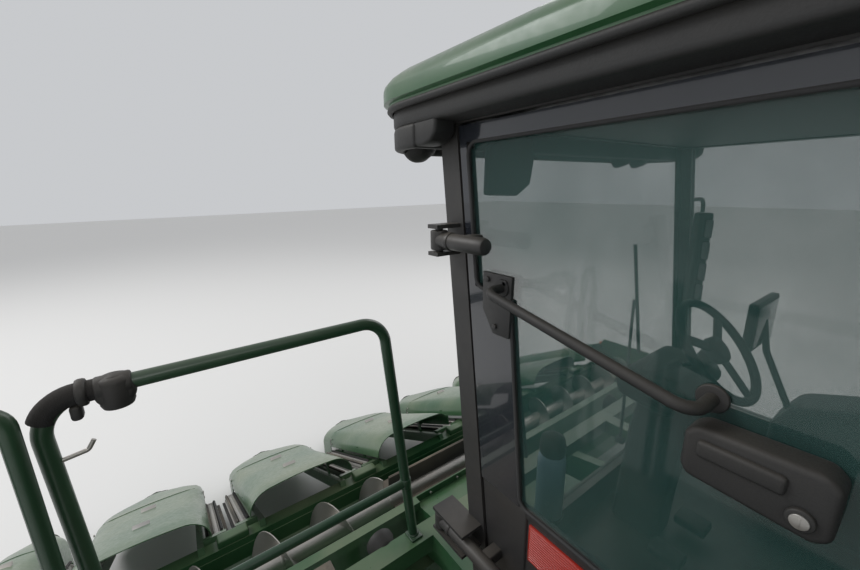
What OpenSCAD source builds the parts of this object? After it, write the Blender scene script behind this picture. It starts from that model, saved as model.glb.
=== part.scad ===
// Self-propelled basket cotton harvester, six rows. Millimetres, +Z up, ground at z = 0.
// The front faces -Y and the machine's left-hand side is +X.
// Lengths along the machine are given from the front axle and then centred by machine().

/* [Rows] */
// Number of rows
row_count = 6; // [4:1:6]
// Distance between rows
row_pitch = 1016; // [965:1:1070]
// Open width of a row's throat
throat_w = 236; // [200:1:260]

/* [Header] */
// Outer diameter of a stripper roll over its bats
roll_d = 150; // [130:1:160]
// Distance between the axes of a pair of rolls
roll_pair = 172; // [168:1:190]
// Length of a stripper roll
roll_len = 1080; // [900:10:1150]
// Slope of the rolls from the ground
roll_slope = 27; // [22:1:30]
// Bats on one roll
roll_bats = 6; // [4:1:8]
// Front lower end of the rolls, from the front axle
roll_front_y = -3880; // [-3950:10:-3800]
// Height of the rolls' front end
roll_front_z = 300; // [270:5:330]
// Outer diameter of the cross auger's flight
auger_d = 430; // [360:10:450]
// Pitch of the auger flight
auger_pitch = 400; // [300:10:500]
// Diameter of the auger's tube
auger_tube_d = 140; // [100:5:180]
// Auger axis from the front axle
auger_y = -2430; // [-2460:10:-2400]
// Height of the auger axis
auger_z = 850; // [820:10:880]
// Sheet thickness of the header
header_sheet = 8; // [6:1:12]
// Length of a divider's nose
snout_len = 760; // [600:10:800]
// Header lift axis from the front axle
lift_y = -1150; // [-1200:10:-1100]
// Height of the header lift axis
lift_z = 1050; // [1020:10:1080]

/* [Wheels] */
// Diameter of a drive tyre over its lugs
drive_tyre_d = 1620; // [1500:10:1680]
// Width of a drive tyre
drive_tyre_w = 640; // [560:10:680]
// Distance between the drive wheels' middles
drive_tread = 2900; // [2860:10:2960]
// Diameter of a steered tyre over its ribs
steer_tyre_d = 1250; // [1150:10:1300]
// Width of a steered tyre
steer_tyre_w = 360; // [320:10:400]
// Distance between the steered wheels' middles
steer_tread = 2860; // [2800:10:2960]
// Distance between the axles
wheelbase = 4000; // [3900:10:4100]
// Depth of a drive lug
lug_h = 42; // [30:1:50]
// Lugs on each side of a drive tyre
lug_count = 20; // [16:1:24]

/* [Cab] */
// Height of the cab floor and the platform deck
floor_z = 1720; // [1700:5:1760]
// Width of the cab over its pillars
cab_w = 1720; // [1600:10:1760]
// Height from the floor to the top of the door
cab_h = 1680; // [1600:10:1720]
// Front of the cab at its floor, from the front axle
cab_front_y = -1050; // [-1080:5:-1000]
// Back of the cab, from the front axle
cab_back_y = 500; // [450:10:520]
// How far the windscreen leans forward at its top
screen_lean = 190; // [120:5:220]
// Thickness of a pillar and of the door
pillar_t = 56; // [50:1:70]
// Glass thickness
glass_t = 8; // [6:1:10]
// Width of the roof
roof_w = 1970; // [1900:10:2000]
// Height of the green roof cap
roof_cap_h = 200; // [160:5:240]
// Height of the black visor under the cap, at its front
visor_h = 130; // [100:5:150]
// How far the roof reaches in front of the windscreen's top
roof_reach = 300; // [240:5:340]

/* [Platform] */
// How far the platform reaches from the middle of the machine
deck_x = 1950; // [1900:10:2000]
// Outer diameter of a handrail tube
rail_d = 42; // [34:1:48]
// Height of the handrail over the deck
rail_h = 1000; // [900:10:1050]

/* [Basket] */
// Width of the basket
basket_w = 3660; // [3500:10:3700]
// Front of the basket, from the front axle
basket_front_y = 2330; // [2310:10:2380]
// Back wall of the basket, from the front axle
basket_back_y = 5060; // [5000:10:5100]
// Height of the basket's rim, where the hood starts
basket_top_z = 4250; // [4200:10:4300]
// Height of the bottom of its deep middle
basket_floor_z = 1480; // [1460:5:1520]
// Height where the side walls' shelf starts
shelf_z = 2120; // [2080:10:2200]
// Sheet thickness of the basket
basket_sheet = 30; // [24:1:40]
// Height of the hood over the rim
hood_h = 880; // [800:10:900]
// Basket pivot from the middle of the machine
tip_x = 1905; // [1890:5:1930]
// Height of the basket pivot
tip_z = 3300; // [3250:10:3350]

/* [Chassis] */
// Distance between the middles of the frame rails
rail_gap = 1500; // [1440:10:1540]
// Height of a frame rail
frame_rail_h = 250; // [220:5:280]
// Width of a frame rail
frame_rail_w = 110; // [90:5:130]
// Top of the frame rails
frame_top_z = 1350; // [1330:5:1380]

/* [Hidden] */

// Running gap between pieces that turn or slide on each other
gap = 6;
// Facets of a round piece
fine = 48;
// Facets of a small round piece
small = 24;
green = [0.10, 0.30, 0.13];
dark = [0.06, 0.06, 0.07];
yellow = [0.90, 0.72, 0.10];
steel = [0.55, 0.56, 0.58];
rubber = [0.07, 0.07, 0.07];
glass = [0.45, 0.65, 0.62, 0.4];
cream = [0.85, 0.83, 0.75];

header_w = row_count * row_pitch + 64;
row_x = [for (i = [0 : row_count - 1]) (i - (row_count - 1) / 2) * row_pitch];
divider_x = [for (i = [0 : row_count]) (i - row_count / 2) * row_pitch];
roll_back_y = roll_front_y + roll_len * cos(roll_slope);
roll_back_z = roll_front_z + roll_len * sin(roll_slope);
snout_tip_y = roll_front_y - snout_len;
cab_half = cab_w / 2;
door_top_z = floor_z + cab_h;
back_rib = 90;
rear_end_y = basket_back_y + back_rib + 320;
// The middle of the whole length, which becomes y = 0
middle_y = (snout_tip_y + rear_end_y) / 2;
rail_x = rail_gap / 2;

module machine() { translate([0, -middle_y, 0]) children(); }

// A box between two corners
module block(a, b) { translate(a) cube(b - a); }

// An outline in (y, z), drawn out along x
module along_x(x0, x1, outline) {
    translate([x0, 0, 0]) rotate([90, 0, 90]) linear_extrude(x1 - x0) polygon(outline);
}

// An outline in (x, z), drawn out along y
module along_y(y0, y1, outline) {
    translate([0, y1, 0]) rotate([90, 0, 0]) linear_extrude(y1 - y0) polygon(outline);
}

// A round bar from p to q
module bar(p, q, d, fn = small) {
    v = q - p;
    len = norm(v);
    translate(p) rotate([0, acos(v.z / len), atan2(v.y, v.x)]) cylinder(d = d, h = len, $fn = fn);
}

// A round bar along x, centred on a point in (y, z)
module bar_x(x0, x1, y, z, d, fn = fine) {
    translate([x0, y, z]) rotate([0, 90, 0]) cylinder(d = d, h = x1 - x0, $fn = fn);
}

// A round bar along y
module bar_y(y0, y1, x, z, d, fn = fine) {
    translate([x, y0, z]) rotate([-90, 0, 0]) cylinder(d = d, h = y1 - y0, $fn = fn);
}

function unit(v) = v / norm(v);

// A bent tube through points: straight runs that meet in slightly larger balls
module tube(points, d = rail_d, r = 90) {
    n = len(points);
    for (i = [0 : n - 2]) bar(points[i], points[i + 1], d);
    for (i = [1 : 1 : n - 2]) translate(points[i]) sphere(d = d * 1.08, $fn = 16);
}

drive_hub_z = drive_tyre_d / 2;
steer_hub_z = steer_tyre_d / 2;
rail_bottom_z = frame_top_z - frame_rail_h;
cab_under_z = floor_z - 80;
deck_t = 40;
axle_top_z = 950;
duct_half = 480;
duct_sheet = 10;
duct_low_z = 970;
duct_high_z = 1330;
duct_front_y = lift_y + 60;
duct_rise_y = 600;
duct_back_y = 1000;
cleaner_half = 1200;
cleaner_front_y = 1100;
cleaner_back_y = 1940;
cleaner_low_z = 2000;
cleaner_top_z = 4200;
chute_half = 600;
chute_low_z = 3500;
roof_seam_z = door_top_z + 68;
arm_x = 920;
arm_t = 80;
lift_pin_d = 90;
running = 0.1;
kingpin_x = 1120;
tip_pin_d = 60;
post_t = 70;
post_y = [basket_front_y - 320, basket_back_y + back_rib + 195];
tip_y = [basket_front_y - 140, basket_back_y + back_rib + 80];
tip_foot = [1250, 1150];
tip_eye = [750, 3000];
lift_foot = [-350, 620];
lift_eye = [-1900, 500];
lift_x = 620;
rail_back_y = post_y[1] + post_t / 2 + 10;

locker_x = [-2050, -1420];
locker_y = [basket_back_y - 330, basket_back_y + 270];
locker_z = [frame_top_z + 50, shelf_z - 40];

// The frame: rails, cross members, the posts under the cab and the posts that carry the basket's hinge
module main_frame() color(green) {
    for (side = [-1, 1]) {
        block([side * rail_x - frame_rail_w / 2, lift_y - 110, rail_bottom_z],
              [side * rail_x + frame_rail_w / 2, rail_back_y, frame_top_z]);
        along_x(side * rail_x - frame_rail_w / 2, side * rail_x + frame_rail_w / 2,
                [[lift_y - 90, lift_z - 80], [lift_y + 90, lift_z - 80], [lift_y + 200, rail_bottom_z + 1],
                 [lift_y - 100, rail_bottom_z + 1]]);
        mirror([side < 0 ? 1 : 0, 0, 0]) bar_x(rail_x - 30, arm_x + 55, lift_y, lift_z, lift_pin_d);
        for (y = [-900, 330])
            block([side * rail_x - 50, y, frame_top_z - 1], [side * rail_x + 50, y + 120, cab_under_z]);
        block([side * rail_x - 50, -140, axle_top_z], [side * rail_x + 50, 140, rail_bottom_z + 1]);
        block([side * rail_x - 45, -1430, cab_under_z - 110], [side * rail_x + 45, -890, cab_under_z - 20]);
    }
    for (y = [2230, 3060, 4760]) block([-rail_x, y, rail_bottom_z + 30],
        [rail_x, y + 100, rail_bottom_z + 200]);
    block([-rail_x, wheelbase - 90, rail_bottom_z + 10], [rail_x, wheelbase + 90, rail_bottom_z + 200]);
    block([-90, wheelbase - 75, 817], [90, wheelbase + 80, rail_bottom_z + 20]);
    for (y = [-900, 860]) {
        block([rail_x + 20, y, cab_under_z - 90], [deck_x - 30, y + 80, cab_under_z]);
        block([cab_half, y, cab_under_z - 1], [deck_x - 30, y + 80, floor_z - deck_t]);
    }
    for (y = locker_y + [110, -190])
        block([locker_x[0] + 50, y, frame_top_z - 20], [-rail_x, y + 80, locker_z[0]]);
    block([rail_x - 50, 860, frame_top_z - 1], [rail_x + 50, 940, floor_z - deck_t]);
    block([-1150, -1500, cab_under_z - 110], [1950, -1410, cab_under_z - 20]);
    for (y = post_y) {
        difference() {
            along_y(y - post_t / 2, y + post_t / 2,
                [[rail_x - 20, rail_bottom_z + 20], [rail_x + 150, rail_bottom_z + 20],
                    [tip_x + 75, tip_z - 260],
                 [tip_x + 75, tip_z + 75], [tip_x - 75, tip_z + 75], [tip_x - 75, tip_z - 200],
                 [rail_x - 20, rail_bottom_z + 230]]);
            bar_y(y - 60, y + 60, tip_x, tip_z, tip_pin_d + running);
        }
    }
    for (i = [0, 1]) {
        y = post_y[i];
        inner = i == 0 ? 1 : -1;
        along_y(y - post_t / 2, y + post_t / 2,
            [[rail_x + 100, rail_bottom_z + 30], [tip_foot.x + 60, tip_foot.y - 70],
                [tip_foot.x + 60, tip_foot.y + 70],
             [rail_x + 100, frame_top_z - 10]]);
        bar_y(min(y, y + inner * 250), max(y, y + inner * 250), tip_foot.x, tip_foot.y, tip_pin_d);
    }
}

// The front axle: beam, final drives and the spindles of the drive wheels
module front_axle() color(green) {
    block([-900, -120, 690], [900, 120, axle_top_z]);
    for (side = [-1, 1]) {
        bar_x(side > 0 ? 890 : -1120, side > 0 ? 1120 : -890, 0, drive_hub_z, 420);
        bar_x(side > 0 ? 1119 : -1330, side > 0 ? 1330 : -1119, 0, drive_hub_z, 330);
        bar_x(side > 0 ? 1329 : -1560, side > 0 ? 1560 : -1329, 0, drive_hub_z, 160);
        along_x(side * lift_x - 45, side * lift_x - 25,
            [[-119, 700], [lift_foot.x - 20, 565], [lift_foot.x - 60, 620], [lift_foot.x - 20, 675],
                [-119, 900]]);
        along_x(side * lift_x + 25, side * lift_x + 45,
            [[-119, 700], [lift_foot.x - 20, 565], [lift_foot.x - 60, 620], [lift_foot.x - 20, 675],
                [-119, 900]]);
        bar_x(side * lift_x - 60, side * lift_x + 60, lift_foot.x, lift_foot.y, 50);
    }
}

// The rear axle: a beam on the frame's middle pivot, with a kingpin at each end
module rear_axle() color(green) {
    block([-1040, wheelbase - 70, 610], [1040, wheelbase + 70, 817]);
    block([-200, wheelbase - 75, 600], [200, wheelbase + 75, 817]);
    for (side = [-1, 1]) translate([side * kingpin_x, wheelbase, 0]) {
        for (z = [590, 755]) translate([0, 0, z]) cylinder(d = 150, h = 60, $fn = fine);
        translate([0, 0, 560]) cylinder(d = 60, h = 290, $fn = fine);
        block([side > 0 ? -130 : 70, -60, 590], [side > 0 ? -70 : 130, 60, 815]);
    }
}

// The engine between the rails, on two cross mounts
module engine_block() color(steel) {
    front = cleaner_front_y + 80;
    back = cleaner_back_y - 80;
    crown = frame_top_z + 150;
    foot = rail_bottom_z - 100;
    block([-330, front, foot], [330, back, crown]);
    block([-240, front + 20, crown - 1], [240, back - 20, crown + 330]);
    block([-200, front + 60, foot - 100], [200, back - 60, foot + 1]);
    bar_y(front - 60, front + 1, 0, frame_top_z - 100, 420);
    for (y = [front + 80, back - 160])
        block([-rail_x + frame_rail_w / 2, y, frame_top_z - 210],
            [rail_x - frame_rail_w / 2, y + 80, frame_top_z - 150]);
}

housing_half = 980;

// The engine's cover on the rails, with the radiator cabinet at the right
module engine_housing() color(green) {
    difference() {
        block([-housing_half, cleaner_front_y, frame_top_z], [housing_half, cleaner_back_y, cleaner_low_z]);
        block([-housing_half + 15, cleaner_front_y + 15, frame_top_z - 10],
              [housing_half - 15, cleaner_back_y - 15, cleaner_low_z - 15]);
    }
    difference() {
        block([-1740, cleaner_front_y + 20, frame_top_z + 20],
            [-housing_half, cleaner_back_y - 40, cleaner_low_z]);
        block([-1750, cleaner_front_y + 80, frame_top_z + 80],
            [-1700, cleaner_back_y - 100, cleaner_low_z - 60]);
    }
    for (i = [0 : 8])
        block([-1740, cleaner_front_y + 70, frame_top_z + 110 + i * 56],
            [-1710, cleaner_back_y - 90, frame_top_z + 122 + i * 56]);
}

// The fuel tank at the left
module side_tanks() color(dark) {
    along_y(cleaner_front_y + 60, cleaner_back_y - 60,
        [[housing_half, 1360], [1060, 1060], [1660, 1060], [1740, 1140], [1740, 1820], [1660, 1900],
            [housing_half, 1900]]);
    translate([1500, cleaner_front_y + 160, 1899]) cylinder(d = 110, h = 50, $fn = fine);
}

// The locker at the right, behind the steered wheel, on two brackets of the frame
module rear_locker() color(green)
    block([locker_x[0], locker_y[0], locker_z[0]], [locker_x[1], locker_y[1], locker_z[1]]);

// The cleaner above the engine, with the chute that hands the cotton to the basket
module field_cleaner() color(green) {
    difference() {
        along_x(-cleaner_half, cleaner_half,
            [[cleaner_front_y, cleaner_low_z], [cleaner_back_y, cleaner_low_z],
                [cleaner_back_y, cleaner_top_z - 120],
             [cleaner_back_y - 120, cleaner_top_z], [cleaner_front_y, cleaner_top_z]]);
        block([-cleaner_half + 20, cleaner_front_y + 20, cleaner_low_z + 20],
              [cleaner_half - 20, cleaner_back_y - 20, cleaner_top_z - 140]);
        block([-duct_half + duct_sheet, cleaner_front_y - 1, duct_mouth_z + duct_sheet],
              [duct_half - duct_sheet, cleaner_front_y + 30, duct_top_z - 100]);
        block([-chute_half + 10, cleaner_back_y - 30, chute_low_z + 10],
              [chute_half - 10, cleaner_back_y + 1, cleaner_top_z - 160]);
    }
    difference() {
        block([-chute_half, cleaner_back_y, chute_low_z], [chute_half, basket_front_y - 20,
            cleaner_top_z - 150]);
        block([-chute_half + 10, cleaner_back_y - 1, chute_low_z + 10],
              [chute_half - 10, basket_front_y + 1, cleaner_top_z - 160]);
    }
}

duct_top_z = cleaner_top_z - 40;
duct_mouth_z = duct_top_z - 440;
function duct_side(t, over) = [[duct_front_y - over, duct_low_z + t],
    [duct_back_y - 140 - t * 0.4, duct_low_z + t],
    [duct_back_y - t, duct_low_z + 140 + t * 0.4], [duct_back_y - t, duct_mouth_z + t],
    [cleaner_front_y + over, duct_mouth_z + t], [cleaner_front_y + over, duct_top_z - t],
    [duct_rise_y + 160 + t * 0.4, duct_top_z - t], [duct_rise_y + 40 + t, duct_top_z - 120 - t * 0.4],
    [duct_rise_y + 40 + t, duct_high_z + 70 - t * 0.4], [duct_rise_y - 30 + t * 0.4, duct_high_z - t],
    [duct_front_y - over, duct_high_z - t]];

// The air duct: under the cab, then up behind it to the cleaner
module air_duct() color(green) {
    difference() {
        along_x(-duct_half, duct_half, duct_side(0, 0));
        along_x(-duct_half + duct_sheet, duct_half - duct_sheet, duct_side(duct_sheet, 1));
    }
}

// The fan beside the duct, and its outlet into the duct's foot
module blower() color(dark) {
    difference() {
        bar_x(-1040, -640, 800, 2120, 560);
        bar_x(-1041, -1000, 800, 2120, 260);
    }
    block([-1000, 660, 1400], [-680, 900, 2000]);
    block([-1000, 660, 1400], [-duct_half, 900, 1640]);
}

// The exhaust: silencer and stack, on the radiator cabinet
module exhaust_stack() color(dark) {
    translate([-1480, 1480, cleaner_low_z]) {
        cylinder(d = 110, h = 160, $fn = fine);
        translate([0, 0, 150]) cylinder(d = 230, h = 760, $fn = fine);
        translate([0, 0, 900]) cylinder(d = 100, h = 1050, $fn = fine);
    }
}

function screen_y(z) = cab_front_y - screen_lean * (z - floor_z) / cab_h;
function lean(y0, y1, z0, z1) = [[screen_y(z0) + y0, z0], [screen_y(z0) + y1, z0], [screen_y(z1) + y1, z1],
    [screen_y(z1) + y0, z1]];
pillar_in = cab_half - pillar_t;
cab_head_z = door_top_z + 60;
b_post_y = -60;
sill_z = 2330;
hinge_at = [cab_half + 65, cab_front_y - 115];
hinge_z = [2000, 3060];
door_gap = 6;
door_t = 36;
hinge_h = 60;
hinge_plate = 12;
hinge_clear = 6;
hinge_bore_d = 24;
// The front edge of the door at a height, just behind the front pillar
function door_front(z) = screen_y(z) + 86;

// The cab's floor, pillars, sills and head, with the door's hinge pins
module cab_shell() color(green) {
    block([-cab_half, cab_front_y, cab_under_z], [cab_half, cab_back_y, floor_z]);
    for (side = [-1, 1]) mirror([side < 0 ? 1 : 0, 0, 0]) {
        along_x(pillar_in, cab_half, lean(0, 80, floor_z, cab_head_z));
        for (y = [b_post_y, cab_back_y - 70]) block([pillar_in, y, floor_z],
            [cab_half, y + 70, cab_head_z]);
        along_x(pillar_in, cab_half, [[screen_y(door_top_z), door_top_z], [cab_back_y, door_top_z],
            [cab_back_y, cab_head_z], [screen_y(cab_head_z), cab_head_z]]);
        block([pillar_in, b_post_y, floor_z], [cab_half, cab_back_y, sill_z]);
    }
    along_x(-cab_half + 6, -pillar_in, [[cab_front_y + 40, floor_z - 1], [b_post_y + 1, floor_z - 1],
        [b_post_y + 1, 2000],
        [screen_y(2000) + 40, 2000]]);
    along_x(-pillar_in - 10, pillar_in + 10, lean(10, 60, door_top_z, cab_head_z));
    along_x(-pillar_in - 10, pillar_in + 10, lean(10, 60, floor_z, floor_z + 120));
    block([-cab_half, cab_back_y - 60, door_top_z], [cab_half, cab_back_y, cab_head_z]);
    block([-cab_half, cab_back_y - 40, floor_z], [cab_half, cab_back_y, sill_z]);
    for (z = hinge_z) {
        pin_half = hinge_h / 2 + hinge_clear + hinge_plate;
        translate([hinge_at.x, hinge_at.y, z - pin_half]) cylinder(d = hinge_bore_d, h = 2 * pin_half,
            $fn = fine);
        for (low = [z - pin_half, z + pin_half - hinge_plate])
            block([cab_half - 5, hinge_at.y - 25, low], [hinge_at.x + 25, screen_y(z) + 60,
                low + hinge_plate]);
    }
}

door_x = cab_half - 4 - door_t;
door_low_z = floor_z + door_gap;
door_high_z = door_top_z - door_gap;
door_back_y = b_post_y - door_gap;
door_outline = [[door_front(door_low_z), door_low_z], [door_back_y, door_low_z], [door_back_y, door_high_z],
    [door_front(door_high_z), door_high_z]];
door_light_z = floor_z + 530;
light_top_z = door_top_z - 55;
light_step_z = floor_z + 1200;
light_back_y = b_post_y - 50;
door_light = [[cab_front_y + 190, door_light_z], [light_back_y, door_light_z], [light_back_y, light_top_z],
    [door_front(light_top_z) + 30, light_top_z], [door_front(light_step_z) + 30, light_step_z],
    [cab_front_y + 120, light_step_z - 20]];
bar_off = 75;

// The door: its frame, the panel below the glass, the hinge arms, the pull bar and the latch
module door_frame() color(dark) {
    difference() {
        along_x(door_x, door_x + door_t, door_outline);
        along_x(door_x - 1, door_x + door_t + 1, door_light);
    }
    for (z = hinge_z) difference() {
        union() {
            translate([hinge_at.x, hinge_at.y, z - hinge_h / 2]) cylinder(d = 54, h = hinge_h, $fn = fine);
            bar_y(hinge_at.y, door_front(z) + 160, hinge_at.x, z, 50, small);
            block([door_x + door_t - 4, door_front(z) + 30, z - 20],
                [hinge_at.x, door_front(z) + 70, z + 20]);
        }
        translate([hinge_at.x, hinge_at.y, z - hinge_h]) cylinder(d = hinge_bore_d + running,
            h = 2 * hinge_h, $fn = fine);
    }
    grip = [light_step_z + 15, light_step_z - 85];
    pane = door_x + 14 + glass_t;
    tube([[door_x + door_t - 4, cab_front_y + 100, grip[0]],
        [door_x + door_t + bar_off, cab_front_y + 100, grip[0]],
          [door_x + door_t + bar_off, light_back_y - 340, grip[1]],
              [pane, light_back_y - 340, grip[1]]], 26, 40);
    block([pane, light_back_y - 350, grip[1] - 140], [door_x + door_t + 50, light_back_y - 170,
        grip[1] - 10]);
    block([door_x + door_t - 4, cab_front_y + 20, grip[0] - 145],
        [door_x + door_t + 10, cab_front_y + 135, grip[0] + 40]);
}

// The glass of the door
module door_glass() color(glass) {
    along_x(door_x + 14, door_x + 14 + glass_t, door_light);
}

// The fixed glass: windscreen, both sides and the back
module cab_glass() color(glass) {
    along_x(-pillar_in, pillar_in, lean(20, 20 + glass_t, floor_z + 120, door_top_z));
    block([pillar_in + 20, b_post_y + 70, sill_z], [pillar_in + 20 + glass_t, cab_back_y - 70, door_top_z]);
    block([-pillar_in - 20 - glass_t, b_post_y + 70, sill_z],
        [-pillar_in - 20, cab_back_y - 70, door_top_z]);
    along_x(-pillar_in - 20 - glass_t, -pillar_in - 20, [[screen_y(2000) + 80, 2000], [b_post_y, 2000],
        [b_post_y, door_top_z], [screen_y(door_top_z) + 80, door_top_z]]);
    block([-pillar_in, cab_back_y - 30, sill_z], [pillar_in, cab_back_y - 30 + glass_t, door_top_z]);
}

// A plan outline with rounded corners
function plan(x, y0, y1, r) = [for (c = [[x - r, y1 - r, 0], [-x + r, y1 - r, 90],
    [-x + r, y0 + r, 180], [x - r, y0 + r, 270]])
    for (a = [0 : 15 : 90]) [c.x + r * cos(c.z + a), c.y + r * sin(c.z + a)]];
roof_front_y = screen_y(roof_seam_z) - roof_reach;

// The roof's cap: a low edge and a dome in steps
module cab_roof() color(green) {
    step = [0, 0.3, 0.5, 0.75, 1];
    inset = [0, 40, 100, 200];
    for (i = [0 : 3]) translate([0, 0, roof_seam_z + roof_cap_h * step[i]])
        linear_extrude(roof_cap_h * (step[i + 1] - step[i]) + (i < 3 ? 1 : 0))
            polygon(plan(roof_w / 2 - inset[i], roof_front_y + inset[i], cab_back_y + 60 - inset[i],
                250 - inset[i] * 0.3));
}

visor_plan = plan(roof_w / 2 - 45, roof_front_y + 45, cab_back_y + 30, 220);
visor_low_z = roof_seam_z - visor_h;

// The dark visor under the cap: a ring above the door, and a deeper lip in front
module cab_visor() color(dark) {
    difference() {
        union() {
            translate([0, 0, door_top_z + 4]) linear_extrude(roof_seam_z - door_top_z - 4)
                polygon(visor_plan);
            intersection() {
                translate([0, 0, visor_low_z]) linear_extrude(visor_h) polygon(visor_plan);
                block([-roof_w, roof_front_y, visor_low_z - 1], [roof_w, hinge_at.y - 60, roof_seam_z + 1]);
            }
        }
        along_x(-cab_half, cab_half, [[screen_y(visor_low_z - 10), visor_low_z - 10],
            [cab_back_y, visor_low_z - 10], [cab_back_y, cab_head_z], [screen_y(cab_head_z), cab_head_z]]);
    }
}

seat_x = 50;
wheel_at = [cab_front_y + 400, floor_z + 910];

// The operator's seat
module operator_seat() color(dark) {
    block([seat_x - 190, 20, floor_z], [seat_x + 190, 380, 2060]);
    block([seat_x - 260, -120, 2060], [seat_x + 260, 400, 2190]);
    along_x(seat_x - 250, seat_x + 250, [[290, 2180], [400, 2180], [440, 2900], [350, 2900]]);
    for (side = [-1, 1]) block([seat_x + side * 290 - 35, 20, 2330], [seat_x + side * 290 + 35, 330, 2390]);
    for (side = [-1, 1]) block([seat_x + side * 275 - 20, 300, 2130],
        [seat_x + side * 275 + 20, 370, 2340]);
}

wheel_tilt = 50;
wheel_pin_d = 24;
module at_wheel() {
    translate([seat_x, wheel_at.x, wheel_at.y]) rotate([-wheel_tilt, 0, 0]) children();
}

// The steering wheel, which turns on the column's pin
module steering_wheel() color(dark) at_wheel() difference() {
    union() {
        rotate_extrude($fn = 40) translate([188, 0]) circle(d = 30, $fn = 12);
        for (a = [90, 210, 330]) rotate([0, 0, a]) translate([0, -15, -10]) cube([188, 30, 16]);
        translate([0, 0, -20]) cylinder(d = 90, h = 34, $fn = fine);
    }
    translate([0, 0, -21]) cylinder(d = wheel_pin_d + running, h = 30, $fn = fine);
}

// The steering column, the dash and the console at the right
module cab_controls() color(dark) {
    along_x(seat_x - 70, seat_x + 70, [[wheel_at.x - 270, floor_z], [wheel_at.x - 90, floor_z],
        [wheel_at.x - 40, wheel_at.y - 170], [wheel_at.x - 140, wheel_at.y - 130]]);
    block([seat_x - 170, wheel_at.x - 250, wheel_at.y - 260],
        [seat_x + 170, wheel_at.x - 50, wheel_at.y - 130]);
    at_wheel() {
        translate([0, 0, -190]) cylinder(d = 50, h = 164, $fn = fine);
        translate([0, 0, -30]) cylinder(d = wheel_pin_d, h = 38, $fn = fine);
    }
    block([-720, -560, floor_z], [-480, 240, 2330]);
    block([-740, -700, 2480], [-420, -660, 2700]);
    block([-620, -670, 2300], [-560, -560, 2500]);
}

deck_front_y = -1500;
deck_back_y = 940;
deck_cut = [400, 360];

// The platform beside the cab
module platform() color(dark) {
    difference() {
        block([cab_half, deck_front_y, floor_z - deck_t], [deck_x, deck_back_y, floor_z]);
        block([cab_half - 1, deck_front_y - 1, floor_z - deck_t - 1],
            [cab_half + deck_cut.x, deck_front_y + deck_cut.y, floor_z + 1]);
    }
    block([deck_x - 8, -900, floor_z], [deck_x, deck_back_y, floor_z + 80]);
}

rail_x_out = deck_x - 30;

// The handrails of the platform
module handrails() color(green) {
    top = floor_z + rail_h;
    y = deck_front_y + 30;
    mid = floor_z + 210;
    tube([[rail_x_out, y, floor_z], [rail_x_out, y, top], [cab_half + 115, y, top],
        [cab_half + 10, y, cab_under_z - 14]]);
    block([cab_half - 25, y - 30, cab_under_z - 20], [cab_half + 45, y + 30, cab_under_z - 8]);
    tube([[rail_x_out, y, mid + 70], [rail_x_out, y, mid], [cab_half + 40, y, mid]], rail_d, 40);
    tube([[rail_x_out, -880, floor_z], [rail_x_out, -880, top], [rail_x_out, deck_back_y - 30, top],
          [rail_x_out, deck_back_y - 30, floor_z]]);
    bar([rail_x_out, -880, floor_z + 520], [rail_x_out, deck_back_y - 30, floor_z + 520], rail_d);
    bar([rail_x_out, 30, floor_z], [rail_x_out, 30, top], rail_d);
    tube([[rail_x_out, deck_back_y - 30, floor_z + 520], [1000, deck_back_y - 30, floor_z + 520],
        [1000, deck_back_y - 30, floor_z]]);
}

// The ladder at the platform's front corner, and the one at the back
module ladders() color(green) {
    for (y = [-1430, -980]) {
        along_y(y, y + 30, [[deck_x, 1600], [deck_x, 1720], [deck_x + 60, 1720], [2400, 450], [2280, 450]]);
        tube([[2235, y + 15, 950], [2290, y + 15, 1010], [deck_x + 50, y + 15, 2350],
            [deck_x + 50, y + 15, 2600],
              [deck_x - 8, y + 15, 2680]], 34, 40);
    }
    for (i = [0 : 4]) block([2265 - i * 70, -1401, 480 + i * 250], [2420 - i * 82, -979, 510 + i * 250]);
    for (x = [840, 1390]) block([x, rail_back_y + 30, 870], [x + 30, rail_back_y + 80, 1750]);
    for (i = [0 : 3]) block([869, rail_back_y + 30, 900 + i * 260],
        [1391, rail_back_y + 80, 930 + i * 260]);
    block([rail_x - 40, rail_back_y, 1160], [1420, rail_back_y + 31, 1260]);
}

// Work lamps, the mirrors and the rear lamps
module lamps_mirrors() color(cream) {
    for (side = [-1, 1]) {
        for (x = [600, 800]) difference() {
            bar_y(roof_front_y + 80, roof_front_y + 190, side * x, visor_low_z + 20, 120, small);
            block([side * x - 70, roof_front_y, visor_low_z],
                [side * x + 70, roof_front_y + 300, visor_low_z + 90]);
        }
        block([side * 1000 - 60, -1508, 1550], [side * 1000 + 60, -1500, 1610]);
        translate([side * 1000, -1570, 1580]) rotate([-90, 0, 0]) cylinder(d = 120, h = 63, $fn = small);
    }
    mirror_y = cab_front_y - 130;
    mirror_z = floor_z + 1400;
    tube([[-cab_half, mirror_y, mirror_z], [-cab_half - 290, mirror_y, mirror_z],
          [-cab_half - 290, mirror_y, mirror_z - 170]], 24, 40);
    block([-cab_half - 370, mirror_y - 25, mirror_z - 560], [-cab_half - 210, mirror_y + 25,
        mirror_z - 160]);
}

trough_front_y = auger_y - auger_d / 2 - 105;
trough_back_y = auger_y + 380;
trough_low_z = auger_z - auger_d / 2 - 65;
trough_lip_z = [auger_z - 160, auger_z - 50];
trough_lip_y = trough_front_y - header_sheet;
trough_bed_y = [auger_y - 190, auger_y + 150];
trough_heel_z = auger_z - 90;
trough_top_z = 1180;
tool_y = [-2060, -1890];
tool_z = [590, 738];
header_half = header_w / 2;
duct_neck_z = [770, 1130];

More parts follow.
